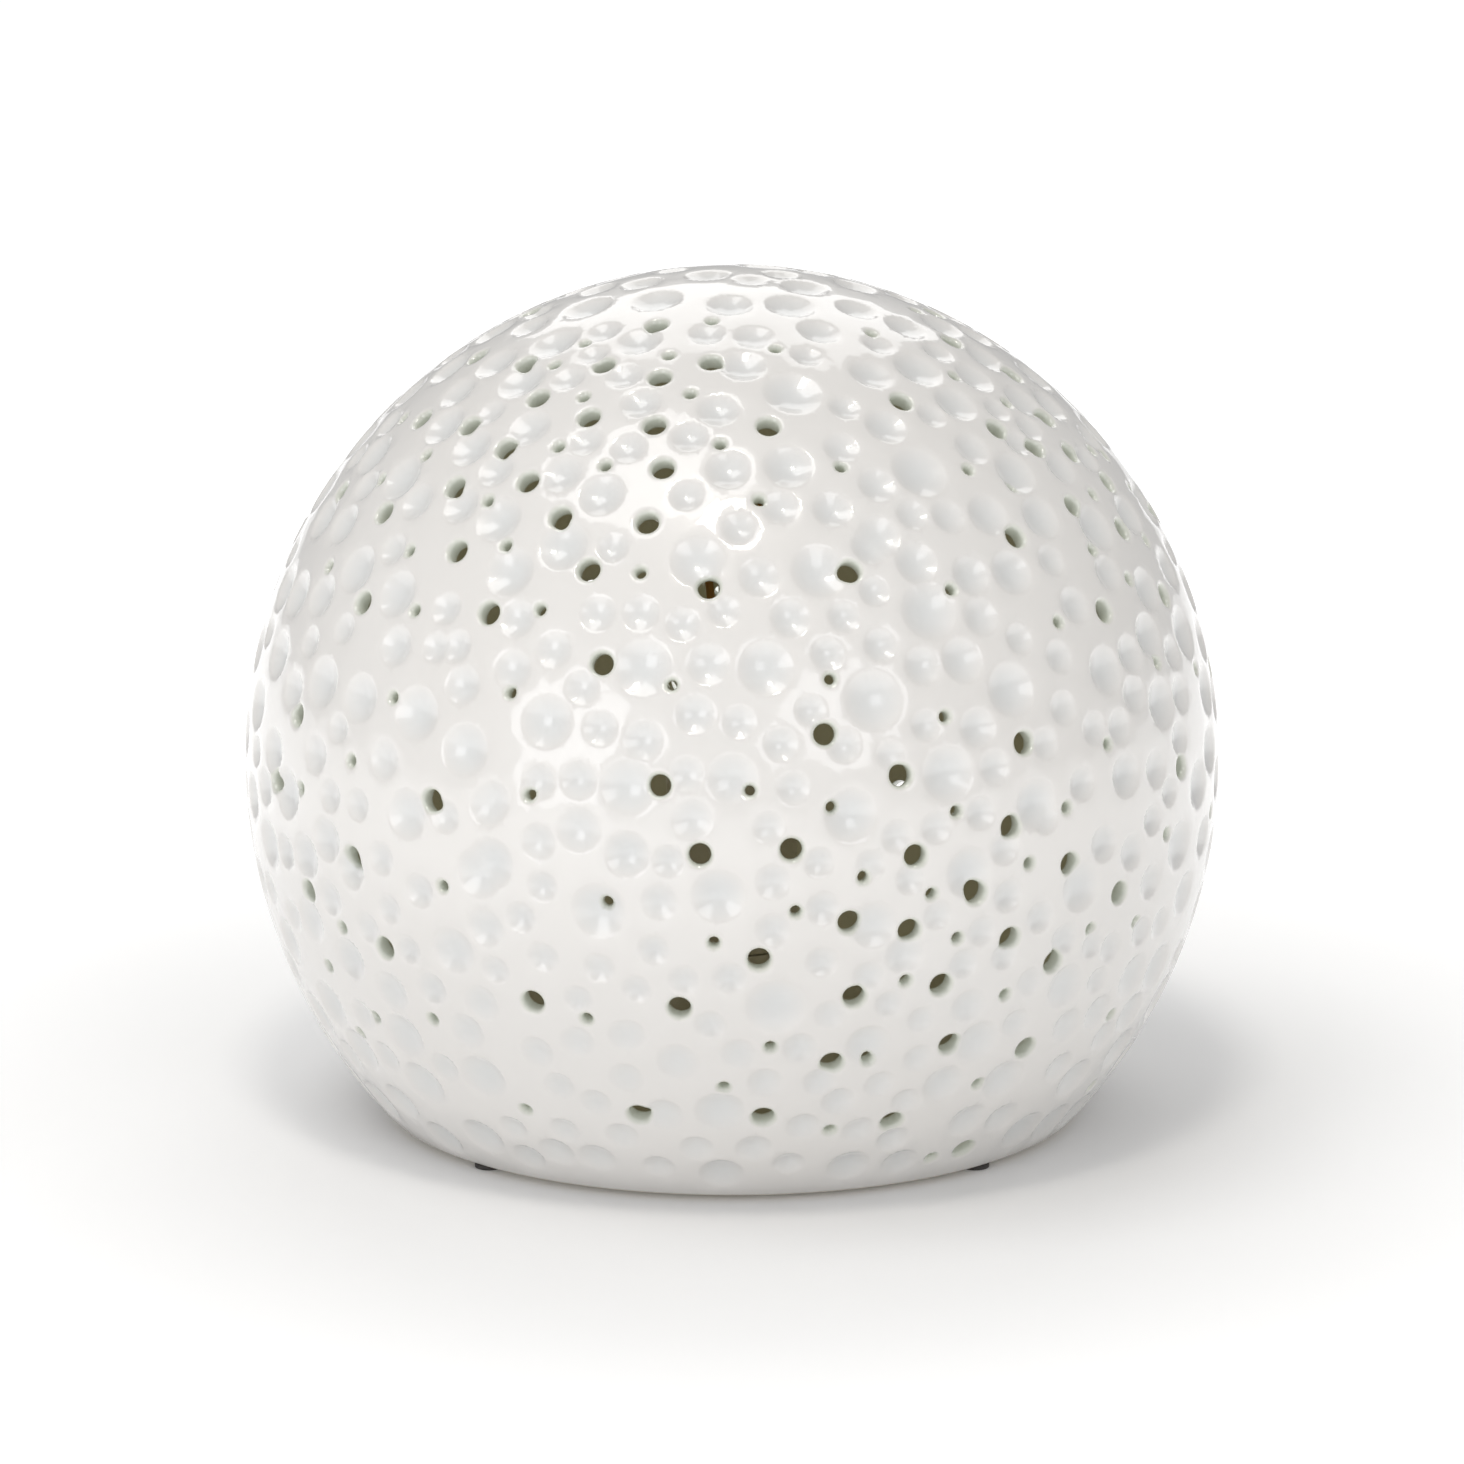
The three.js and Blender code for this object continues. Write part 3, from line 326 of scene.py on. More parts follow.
def notch_outline():
    """Distances from the middle and heights of points up one side of the notch, over its round
    corners and down the other."""
    side = np.linspace(FOOT_BOTTOM + FOOT_ROUND, NOTCH_TOP - NOTCH_CORNER, 8)[1:]
    bend = np.radians([30, 60, 90])
    corner_x = NOTCH_HALF - NOTCH_CORNER + NOTCH_CORNER * np.cos(bend)
    corner_z = NOTCH_TOP - NOTCH_CORNER + NOTCH_CORNER * np.sin(bend)
    top = np.linspace(NOTCH_HALF - NOTCH_CORNER, 0, 5)[1:]
    half_x = np.r_[np.full(len(side), NOTCH_HALF), corner_x, top]
    half_z = np.r_[side, corner_z, np.full(len(top), NOTCH_TOP)]
    return np.r_[half_x, -half_x[-2::-1]], np.r_[half_z, half_z[-2::-1]]


def boundary(radius_at, foot_height):
    """The open edge of a skin: round the foot from one side of the notch to the other, then over
    the notch. Radii come from the skin's own profile."""
    foot_radius = float(radius_at(foot_height))
    half_gap = math.asin(NOTCH_HALF / foot_radius)
    angle = np.linspace(half_gap, 2 * math.pi - half_gap, FOOT_STEPS) + math.pi / 2
    foot = np.stack([np.cos(angle), np.sin(angle), np.zeros(FOOT_STEPS)], -1) * foot_radius
    foot[:, 2] = foot_height - EQUATOR
    notch_x, notch_z = notch_outline()
    notch_y = np.sqrt(radius_at(notch_z) ** 2 - notch_x ** 2)
    return foot, np.stack([notch_x, notch_y, notch_z - EQUATOR], -1)


def triangles_between(points, ring_of):
    """Delaunay triangles of points in a stereographic chart seen from the top, where a ray's two
    flat parts are divided by one more than its height. The inside of each ring stays open."""
    rays = unit(points)
    chart = rays[:, :2] / (1 + rays[:, 2:])
    _, _, faces, source, _, _ = delaunay_2d_cdt([tuple(p) for p in chart], [], [], 0, 1e-9)
    first = np.array([s[0] for s in source])
    corners = first[np.array(faces)]
    a, b, c = chart[corners[:, 0]], chart[corners[:, 1]], chart[corners[:, 2]]
    area = (b[:, 0] - a[:, 0]) * (c[:, 1] - a[:, 1]) - (b[:, 1] - a[:, 1]) * (c[:, 0] - a[:, 0])
    corners[area < 0] = corners[area < 0][:, ::-1]
    rings = ring_of[corners]
    closed = (rings[:, 0] >= 0) & (rings[:, 0] == rings[:, 1]) & (rings[:, 1] == rings[:, 2])
    return corners[~closed & (np.abs(area) > 1e-12)]


def hole_rings(radii, picked, steps):
    """Rings of the picked holes, one after another, as points in the plane that touches each."""
    return circles(pierced[picked], radii[picked], steps)


# All holes of one size have rings of as many points, so each size is worked out as one array
hole_sizes = [(np.flatnonzero(big), HOLE_STEPS), (np.flatnonzero(~big), PINHOLE_STEPS)]
NOTCH_RING = len(pierced)        # the notch counts as one more ring, after those of the holes

# Outer skin: open edge, hole rims, dimple rings and, between them, a fill
outer_foot, outer_notch = boundary(outer_radius, FOOT_BOTTOM + FOOT_ROUND)
outer_parts = [outer_foot, outer_notch]
outer_rings = [np.full(len(outer_foot), -1), np.full(len(outer_notch), NOTCH_RING)]
outer_rings[0][[0, -1]] = NOTCH_RING
for picked, steps in hole_sizes:
    outer_parts.append(skin(unit(hole_rings(flare_radius, picked, steps).reshape(-1, 3))))
    outer_rings.append(np.repeat(picked, steps))
fixed_count = sum(len(part) for part in outer_parts)

ring_points = []
ring_owner = []
is_wide = dimple_radius > WIDE_DIMPLE
for share, shift, steps_small, steps_wide in DIMPLE_RINGS:
    for wide, steps in ((False, steps_small), (True, steps_wide)):
        chosen = np.flatnonzero(is_wide == wide)
        radii = share * dimple_radius[chosen] + shift
        rings = circles(dimple_at[chosen], radii, steps, turn=0.5 * (shift != 0))
        ring_points.append(skin(unit(rings.reshape(-1, 3))))
        ring_owner.append(np.repeat(chosen, steps))
ring_points.append(dimple_at)
ring_owner.append(np.arange(len(dimple_at)))
ring_points = np.vstack(ring_points)
ring_owner = np.concatenate(ring_owner)
ring_depth, deepest = dimpled(ring_points)
ring_keep = clear_of_openings(ring_points, HOLE_MARGIN)
ring_keep &= (deepest == ring_owner) | (ring_depth < OVERLAP_DEPTH)
collar = np.vstack([
    circles(pierced[picked], flare_radius[picked] + COLLAR, int(steps * 0.8)).reshape(-1, 3)
    for picked, steps in hole_sizes
])
collar = skin(unit(collar))
collar_keep = clear_of_openings(collar, 0.8 * COLLAR)
fill = lattice(OUTER_FILL)
fill = fill[clear_of_openings(fill, FILL_TO_HOLE)]
open_land = np.ones(len(fill), bool)
for centre, radius in zip(dimple_at, dimple_radius):
    open_land &= np.linalg.norm(fill - centre, axis=1) > radius + FILL_TO_DIMPLE
outer_parts += [ring_points[ring_keep], collar[collar_keep], fill[open_land]]
outer = np.vstack(outer_parts)
outer_ring_of = np.concatenate(outer_rings + [np.full(len(outer) - fixed_count, -1)])
outer_faces = triangles_between(outer, outer_ring_of)
outer_depth, _ = dimpled(outer)
outer_depth[:len(outer_foot) + len(outer_notch)] *= EDGE_DEPTH_SHARE
outer_at = outer - outer_depth[:, None] * outward(outer)

# Inner skin: open edge, hole rings and a wider fill
inner_foot, inner_notch = boundary(inner_radius, FOOT_BOTTOM + FOOT_ROUND)
inner_parts = [inner_foot, inner_notch]
for picked, steps in hole_sizes:
    rings = hole_rings(bore_radius + BORE_SPREAD, picked, steps)
    rings = rings - WALL * outward(pierced[picked])[:, None]
    inner_parts.append(inside_skin(unit(rings.reshape(-1, 3))))
inner_fill = lattice(INNER_FILL)
inner_fill = inner_fill[clear_of_openings(inner_fill, INNER_FILL_TO_HOLE)]
inner_parts.append(inside_skin(unit(inner_fill)))
inner = np.vstack(inner_parts)
inner_ring_of = np.r_[outer_ring_of[:fixed_count], np.full(len(inner) - fixed_count, -1)]
inner_faces = triangles_between(inner, inner_ring_of)[:, ::-1] + len(outer)

# The whole globe: both skins, then what joins them at the holes, the foot and the notch
blocks = []
shares = {"pool": [], "inside": [], "bare": [], "cut": []}


def add_points(points, **given):
    """Adds points to the globe and returns their numbers. Each has a share from 0 to 1 of every mark:
    pooled glaze, the painted shade and painted glow of the inside, bare clay, and the painted shade and
    painted glow of the cut side. Those not given are 0."""
    first = sum(len(block) for block in blocks)
    blocks.append(points)
    for name, values in shares.items():
        values.append(np.broadcast_to(given.get(name, 0.0), len(points)))
    return np.arange(first, first + len(points))


add_points(outer_at, pool=outer_depth / DEEPEST)
# The inner skin takes the whole inside share: painted shade and painted glow
add_points(inner, inside=1)
wall_faces = []

# Walls of the holes: the flare turns in along a quarter of an ellipse to the straight bore
lip = LIP_SHARE * (flare_radius - bore_radius) + LIP_DEPTH
start = len(outer_foot) + len(outer_notch)
for picked, steps in hole_sizes:
    count = len(picked) * steps
    upper = np.arange(start, start + count)
    chain = [upper]
    for turn in np.radians(LIP_TURNS):
        radius = bore_radius + (flare_radius - bore_radius) * (1 - math.sin(turn))
        surface = skin(unit(hole_rings(radius, picked, steps).reshape(-1, 3)))
        sunk = dimpled(surface)[0]
        push = np.repeat((lip * (1 - math.cos(turn)))[picked], steps)
        straight = np.repeat(outward(pierced[picked]), steps, axis=0)
        bent = surface - sunk[:, None] * outward(surface) - push[:, None] * straight
        # On the lip the inside and cut shares grow, bringing in the painted shade and painted glow of
        # the inside and of the cut side
        chain.append(add_points(
            bent, pool=sunk / DEEPEST, inside=math.sin(turn) * LIP_INSIDE_SHADE_SHARE, cut=math.sin(turn)))
    deep = (1 - BORE_RING) * bent + BORE_RING * inner[upper]
    chain.append(add_points(deep, pool=sunk / DEEPEST, inside=LIP_INSIDE_SHADE_SHARE, cut=1))
    chain.append(len(outer) + upper)
    following = np.roll(np.arange(count).reshape(-1, steps), -1, axis=1).ravel()
    for above, below in zip(chain, chain[1:]):
        wall_faces.append(np.stack([above, above[following], below[following], below], -1))
    start += count

# Foot: rounded edges and the bare land, between the two skins
foot_chain = [np.arange(FOOT_STEPS)]
for radius, height, bare in [
    (FOOT_OUTER - FOOT_EDGE_IN, FOOT_BOTTOM + FOOT_EDGE_UP, FOOT_EDGE_BARE),
    (FOOT_OUTER - FOOT_ROUND, FOOT_BOTTOM, 1), (FOOT_INNER + FOOT_ROUND, FOOT_BOTTOM, 1),
    (FOOT_INNER + FOOT_EDGE_IN, FOOT_BOTTOM + FOOT_EDGE_UP, FOOT_EDGE_BARE),
]:
    half_gap = math.asin(NOTCH_HALF / radius)
    angle = np.linspace(half_gap, 2 * math.pi - half_gap, FOOT_STEPS) + math.pi / 2
    level = np.full(FOOT_STEPS, height - EQUATOR)
    foot_ring = np.stack([radius * np.cos(angle), radius * np.sin(angle), level], -1)
    foot_chain.append(add_points(foot_ring, bare=bare))
foot_chain.append(len(outer) + np.arange(FOOT_STEPS))
for above, below in zip(foot_chain, foot_chain[1:]):
    wall_faces.append(np.stack([above[1:], above[:-1], below[:-1], below[1:]], -1))
last_cap = [ring[-1] for ring in foot_chain]
first_cap = [ring[0] for ring in foot_chain][::-1]

# Roof of the notch, between the two skins
roof = np.r_[FOOT_STEPS - 1, FOOT_STEPS + np.arange(len(outer_notch)), 0]
wall_faces.append(np.stack([roof[1:], roof[:-1], len(outer) + roof[:-1], len(outer) + roof[1:]], -1))

globe_points = np.vstack(blocks) + [0, 0, EQUATOR]
globe_faces = outer_faces.tolist() + inner_faces.tolist()
globe_faces += np.vstack(wall_faces).tolist() + [last_cap, first_cap]


def piece(name, points, faces, body, *replaced, crease=None):
    """A mesh object of points in metres, riding on a CAD body in the place of CAD nodes. Faces are
    smooth; edges that turn more than the crease angle, in degrees, stay sharp."""
    mesh = bpy.data.meshes.new(name)
    mesh.from_pydata(np.asarray(points).tolist(), [], faces)
    mesh.shade_smooth()
    if crease:
        mesh.set_sharp_from_angle(angle=math.radians(crease))
    made = bpy.data.objects.new(name, mesh)
    bpy.context.scene.collection.objects.link(made)
    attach(made, body)
    if replaced:
        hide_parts(*replaced)
    return made


def save_share(mesh, name, values):
    """One number for each point of a mesh, which its material reads."""
    mesh.attributes.new(name, "FLOAT", "POINT").data.foreach_set("value", values.astype(np.float32))


globe = piece("glazed_globe", globe_points, globe_faces, "globe", "porcelain_globe")
for name, values in shares.items():
    save_share(globe.data, name, np.clip(np.concatenate(values), 0, 1))


def colour(code):
    """A hex sRGB colour as the linear red, green, blue and alpha that nodes take."""
    parts = [int(code[i:i + 2], 16) / 255 for i in (1, 3, 5)]
    return [p / 12.92 if p <= 0.04045 else ((p + 0.055) / 1.055) ** 2.4 for p in parts] + [1.0]


def node(material, kind, inputs=None, **settings):
    """Adds one node: settings are its properties, inputs its sockets by name or number, each a
    value or the output socket that feeds it. A mix of colours has its share at 0, its colours at
    6 and 7 and its result at 2."""
    added = material.node_tree.nodes.new(kind)
    for name, value in settings.items():
        setattr(added, name, value)
    for name, value in (inputs or {}).items():
        if isinstance(value, bpy.types.NodeSocket):
            material.node_tree.links.new(value, added.inputs[name])
        else:
            added.inputs[name].default_value = value
    return added


def empty_material(name):
    """A material with no nodes but its output."""
    material = bpy.data.materials.new(name)
    material.use_nodes = True
    material.node_tree.nodes.clear()
    return material


def glazed_porcelain():
    """White hard-paste porcelain under clear gloss glaze: mirror-like, gently wavy over about
    9 mm, a touch grey-green where the glaze pools, and chalky where wiped bare. The cut sides of the
    holes carry painted shade, a darker grey-green, and a faint painted glow; the inside carries painted
    shade, a dim olive, and a fainter painted glow."""
    made = empty_material("clear glazed white porcelain")
    place = node(made, "ShaderNodeTexCoord").outputs["Object"]
    pool = node(made, "ShaderNodeAttribute", attribute_name="pool").outputs["Fac"]
    inside = node(made, "ShaderNodeAttribute", attribute_name="inside").outputs["Fac"]
    bare = node(made, "ShaderNodeAttribute", attribute_name="bare").outputs["Fac"]
    cut = node(made, "ShaderNodeAttribute", attribute_name="cut").outputs["Fac"]
    cloud = node(made, "ShaderNodeTexNoise", {"Vector": place, "Scale": 1 / (40 * mm), "Detail": 3.0})
    body = node(made, "ShaderNodeMix", {
        0: cloud.outputs["Fac"], 6: colour("#eae8e5"), 7: colour("#e5e2de")}, data_type="RGBA")
    pooled = node(made, "ShaderNodeMix", {
        0: pool, 6: body.outputs[2], 7: colour("#e2e3e2")}, data_type="RGBA")
    # Painted shade: the inside is painted a dim olive for the shade inside the hollow globe
    inside_painted_shade = node(made, "ShaderNodeMix", {
        0: inside, 6: pooled.outputs[2], 7: colour("#d6d2be")}, data_type="RGBA")
    # Painted shade: the cut sides of the holes are painted a darker grey-green
    cut_painted_shade = node(made, "ShaderNodeMix", {
        0: cut, 6: inside_painted_shade.outputs[2], 7: colour("#c4c7bf")}, data_type="RGBA")
    chalk = node(made, "ShaderNodeMix", {
        0: bare, 6: cut_painted_shade.outputs[2], 7: colour("#e8e0d0")}, data_type="RGBA")
    # Painted glow: the inside gives off a faint olive light of its own
    inside_painted_glow = node(made, "ShaderNodeMix", {
        0: inside, 6: colour("#000000"), 7: colour("#37352a")}, data_type="RGBA")
    # Painted glow: the cut sides of the holes give off a little light of their own; both glows feed the
    # emission below
    cut_painted_glow = node(made, "ShaderNodeMix", {
        0: cut, 6: inside_painted_glow.outputs[2], 7: colour("#53564d")}, data_type="RGBA")
    roughness = node(made, "ShaderNodeMapRange", {"Value": bare, "To Min": 0.3, "To Max": 0.75})
    gloss = node(made, "ShaderNodeMath", {0: 1.0, 1: bare}, operation="SUBTRACT", use_clamp=True)
    waves = node(made, "ShaderNodeTexNoise", {"Vector": place, "Scale": 1 / (9 * mm), "Detail": 2.0})
    wavy = node(made, "ShaderNodeBump", {
        "Height": waves.outputs["Fac"], "Strength": 0.3, "Distance": 0.12 * mm})
    shader = node(made, "ShaderNodeBsdfPrincipled", {
        "Base Color": chalk.outputs[2], "Roughness": roughness.outputs["Result"], "IOR": 1.5,
        "Emission Color": cut_painted_glow.outputs[2], "Emission Strength": 1.0,
        "Coat Weight": gloss.outputs[0], "Coat Roughness": 0.04, "Coat IOR": 1.5,
        "Normal": wavy.outputs[0], "Coat Normal": wavy.outputs[0],
    })
    node(made, "ShaderNodeOutputMaterial", {"Surface": shader.outputs[0]})
    return made


globe.data.materials.append(glazed_porcelain())

# ---------------------------------------------------------------- foot pads
# Four small discs stuck under the foot ring, so that the hard bare clay doesn't scratch the
# table. Die-cut from black rubber sheet; the glue holds them flat.

PAD_EDGE = 0.25 * mm


def turned(outline, steps=96):
    """A closed surface turned round the Z axis from an outline of radii and heights that runs down
    the outside and up the inside: radius times cosine and sine of the angle. A row of points on
    the axis is one pole."""
    outline = np.array(outline, float)
    angle = 2 * math.pi * np.arange(steps) / steps
    points = np.empty((len(outline), steps, 3))
    points[..., 0] = outline[:, :1] * np.cos(angle)
    points[..., 1] = outline[:, :1] * np.sin(angle)
    points[..., 2] = outline[:, 1:]
    index = np.arange(len(outline) * steps).reshape(-1, steps)
    index[outline[:, 0] < 1e-9] = index[outline[:, 0] < 1e-9, :1]
    below = np.roll(index, -1, axis=0)
    quads = np.stack([index, below, np.roll(below, -1, axis=1), np.roll(index, -1, axis=1)], -1)
    quads = quads.reshape(-1, 4)
    pole_above = quads[:, 0] == quads[:, 3]
    pole_below = quads[:, 1] == quads[:, 2]
    used = np.unique(index)
    faces = []
    for chosen in (
        quads[~pole_above & ~pole_below], quads[pole_above & ~pole_below][:, :3],
        quads[~pole_above & pole_below][:, [0, 1, 3]],
    ):
        faces += np.searchsorted(used, chosen).tolist()
    return points.reshape(-1, 3)[used], faces


def eased(outline, reach, steps=6):
    """The outline with soft corners. A corner gives way to a parabola between the points its reach
    away on either side: those two by the squares of one less t and of t, the corner by twice t
    times one less t. Corners on the axis stay."""
    corner = np.array(outline, float)
    before = np.roll(corner, 1, axis=0) - corner
    after = np.roll(corner, -1, axis=0) - corner
    shortest = np.minimum(np.linalg.norm(before, axis=1), np.linalg.norm(after, axis=1))
    cut = np.minimum(np.broadcast_to(reach, len(corner)), 0.45 * shortest)
    cut = np.where(corner[:, 0] < 1e-9, 0, cut)[:, None]
    first = (corner + unit(before) * cut)[:, None]
    last = (corner + unit(after) * cut)[:, None]
    t = np.linspace(0, 1, steps)[None, :, None]
    curve = ((1 - t) ** 2 * first + 2 * t * (1 - t) * corner[:, None] + t ** 2 * last).reshape(-1, 2)
    return curve[np.linalg.norm(curve - np.roll(curve, 1, axis=0), axis=1) > 1e-8]


def black_rubber():
    """Vulcanised black rubber: dull, faintly grey with dust, with a leathery grain 0.4 mm wide."""
    made = empty_material("vulcanised black rubber")
    place = node(made, "ShaderNodeTexCoord").outputs["Object"]
    dust = node(made, "ShaderNodeTexNoise", {"Vector": place, "Scale": 1 / (3 * mm), "Detail": 4.0})
    grain = node(made, "ShaderNodeTexVoronoi", {"Vector": place, "Scale": 1 / (0.4 * mm)})
    tone = node(made, "ShaderNodeMix", {
        0: dust.outputs["Fac"], 6: colour("#383635"), 7: colour("#514e4c")}, data_type="RGBA")
    relief = node(made, "ShaderNodeBump", {
        "Height": grain.outputs["Distance"], "Strength": 0.3, "Distance": 0.05 * mm})
    shader = node(made, "ShaderNodeBsdfPrincipled", {
        "Base Color": tone.outputs[2], "Roughness": 0.72, "IOR": 1.52, "Normal": relief.outputs[0]})
    node(made, "ShaderNodeOutputMaterial", {"Surface": shader.outputs[0]})
    return made


rubber = black_rubber()
for number in (1, 2, 3, 4):
    low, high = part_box(f"foot_pad_{number}")
    pad_radius = (high.x - low.x) / 2
    disc = eased([(0, high.z), (pad_radius, high.z), (pad_radius, low.z), (0, low.z)], PAD_EDGE)
    points, faces = turned(disc, 40)
    points += [(low.x + high.x) / 2, (low.y + high.y) / 2, 0]
    pad = piece(f"rubber_pad_{number}", points, faces, "globe", f"foot_pad_{number}", crease=50)
    pad.data.materials.append(rubber)

# ---------------------------------------------------------------- felt disc
# Grey needled felt glued over the open bottom of the base, punched out of the roll: a fuzzy face
# of short fibres and a cut edge that is hardly rounded.

FELT_EDGE = 0.4 * mm

low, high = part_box("felt_pad")
felt_outline = eased([(0, high.z), (high.x, high.z), (high.x, low.z), (0, low.z)], FELT_EDGE)
felt = piece("felt_disc", *turned(felt_outline, 160), "base", "felt_pad", crease=50)


def needled_felt():
    """Needled wool felt: two greys of short fibres, about 0.5 mm apart as drawn, since single
    fibres are too fine to show, with a soft sheen from the loose ends."""
    made = empty_material("grey needled felt")
    place = node(made, "ShaderNodeTexCoord").outputs["Object"]
    fibres = node(made, "ShaderNodeTexNoise", {
        "Vector": place, "Scale": 1 / (0.5 * mm), "Detail": 6.0, "Distortion": 2.5})
    lumps = node(made, "ShaderNodeTexNoise", {"Vector": place, "Scale": 1 / (8 * mm), "Detail": 2.0})
    fleck = node(made, "ShaderNodeMix", {
        0: fibres.outputs["Fac"], 6: colour("#383935"), 7: colour("#66675f")}, data_type="RGBA")
    tone = node(made, "ShaderNodeMix", {
        0: lumps.outputs["Fac"], 6: fleck.outputs[2], 7: colour("#4b4c47")}, data_type="RGBA")
    relief = node(made, "ShaderNodeBump", {
        "Height": fibres.outputs["Fac"], "Strength": 0.9, "Distance": 0.3 * mm})
    shader = node(made, "ShaderNodeBsdfPrincipled", {
        "Base Color": tone.outputs[2], "Roughness": 0.95, "Sheen Weight": 0.4, "Sheen Roughness": 0.5,
        "Normal": relief.outputs[0]})
    node(made, "ShaderNodeOutputMaterial", {"Surface": shader.outputs[0]})
    return made


felt.data.materials.append(needled_felt())

# ---------------------------------------------------------------- steel dish
# The base: one steel sheet pressed into a shallow upturned dish with a lip turned in at the
# bottom, pierced for the nipple and the cord, then powder coated in cream.

DISH_SHEET = 1.2 * mm
DISH_SHOULDER = 5 * mm
DISH_LIP = 11 * mm
NIPPLE_HOLE = 5.3 * mm
CORD_HOLE = 4.1 * mm
DRILL_LENGTH = 20 * mm
DRILL_START = 12 * mm            # inside the dish, from its rim

low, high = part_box("base_dish")
dish_radius = high.x
dish_rounding = [
    0.2 * mm, DISH_SHOULDER, 0.8 * mm, 0.2 * mm,
    0.2 * mm, 0.3 * mm, DISH_SHOULDER - DISH_SHEET, 0.2 * mm,
]
dish_outline = eased([
    (NIPPLE_HOLE, high.z), (dish_radius, high.z), (dish_radius, low.z), (dish_radius - DISH_LIP, low.z),
    (dish_radius - DISH_LIP, low.z + DISH_SHEET), (dish_radius - DISH_SHEET, low.z + DISH_SHEET),
    (dish_radius - DISH_SHEET, high.z - DISH_SHEET), (NIPPLE_HOLE, high.z - DISH_SHEET),
], dish_rounding, 10)
dish = piece("pressed_dish", *turned(dish_outline, 160), "base", "base_dish")


def drill(radius, steps):
    """A round bar that stands on the origin."""
    return turned([(0, DRILL_LENGTH), (radius, DRILL_LENGTH), (radius, 0), (0, 0)], steps)


def bored(made, points, faces, crease):
    """Cuts a hole through a piece with a solid that is then thrown away."""
    mesh = bpy.data.meshes.new("cutter")
    mesh.from_pydata(points.tolist(), [], faces)
    cutter = bpy.data.objects.new("cutter", mesh)
    bpy.context.scene.collection.objects.link(cutter)
    cut = made.modifiers.new("hole", "BOOLEAN")
    cut.solver = "EXACT"
    cut.object = cutter
    graph = bpy.context.evaluated_depsgraph_get()
    made.data = bpy.data.meshes.new_from_object(made.evaluated_get(graph))
    made.modifiers.clear()
    made.data.set_sharp_from_angle(angle=math.radians(crease))
    bpy.data.objects.remove(cutter)


grommet_low, grommet_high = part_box("cord_grommet")
grommet_height = (grommet_low.z + grommet_high.z) / 2
bar, bar_faces = drill(CORD_HOLE, 48)
bar = bar[:, [0, 2, 1]] * [1, 1, -1] + [0, dish_radius - DRILL_START, grommet_height]
bored(dish, bar, bar_faces, 35)


def powder_coat():
    """Cream polyester powder coat over steel: a soft satin gloss broken by orange peel about
    1.5 mm across."""
    made = empty_material("cream powder-coated steel")
    place = node(made, "ShaderNodeTexCoord").outputs["Object"]
    peel = node(made, "ShaderNodeTexNoise", {"Vector": place, "Scale": 1 / (1.5 * mm), "Detail": 2.0})
    drift = node(made, "ShaderNodeTexNoise", {"Vector": place, "Scale": 1 / (30 * mm), "Detail": 3.0})
    tone = node(made, "ShaderNodeMix", {
        0: drift.outputs["Fac"], 6: colour("#e9e5da"), 7: colour("#dcd8cc")}, data_type="RGBA")
    roughness = node(made, "ShaderNodeMapRange", {
        "Value": drift.outputs["Fac"], "To Min": 0.32, "To Max": 0.45})
    relief = node(made, "ShaderNodeBump", {
        "Height": peel.outputs["Fac"], "Strength": 0.35, "Distance": 0.08 * mm})
    shader = node(made, "ShaderNodeBsdfPrincipled", {
        "Base Color": tone.outputs[2], "Roughness": roughness.outputs["Result"], "IOR": 1.5,
        "Normal": relief.outputs[0]})
    node(made, "ShaderNodeOutputMaterial", {"Surface": shader.outputs[0]})
    return made


dish.data.materials.append(powder_coat())

# ---------------------------------------------------------------- cord grommet
# A black rubber bush snapped into the back of the dish where a cord comes in: a sleeve between
# two flanges, all its edges rounded by the mould.

GROMMET_BORE = 3.15 * mm
GROMMET_SLEEVE = 3.8 * mm
GROMMET_FLANGE = 4.6 * mm
GROMMET_THICKNESS = 1.1 * mm
GROMMET_ROUNDING = 0.4 * mm

back, front = grommet_high.y, grommet_low.y
grommet_outline = eased([
    (GROMMET_BORE, back), (GROMMET_FLANGE, back), (GROMMET_FLANGE, back - GROMMET_THICKNESS),
    (GROMMET_SLEEVE, back - GROMMET_THICKNESS), (GROMMET_SLEEVE, front + GROMMET_THICKNESS),
    (GROMMET_FLANGE, front + GROMMET_THICKNESS), (GROMMET_FLANGE, front), (GROMMET_BORE, front),
], GROMMET_ROUNDING)
points, faces = turned(grommet_outline, 56)
points = points[:, [0, 2, 1]] * [1, 1, -1] + [0, 0, grommet_height]
grommet = piece("rubber_grommet", points, faces, "base", "cord_grommet", crease=50)
grommet.data.materials.append(rubber)

# ---------------------------------------------------------------- nipple, washer, nut and screws
# The threaded steel tube that holds the lampholder to the dish, its toothed washer and the
# headless screw are zinc plated; the lock nut, terminal screws and contacts are bare brass.

LAMP_THREAD = 1 * mm


def finish_nodes(material, *names):
    """Puts a material on parts that keep their own meshes."""
    for name in names:
        for material_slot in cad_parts[name].material_slots:
            material_slot.material = material


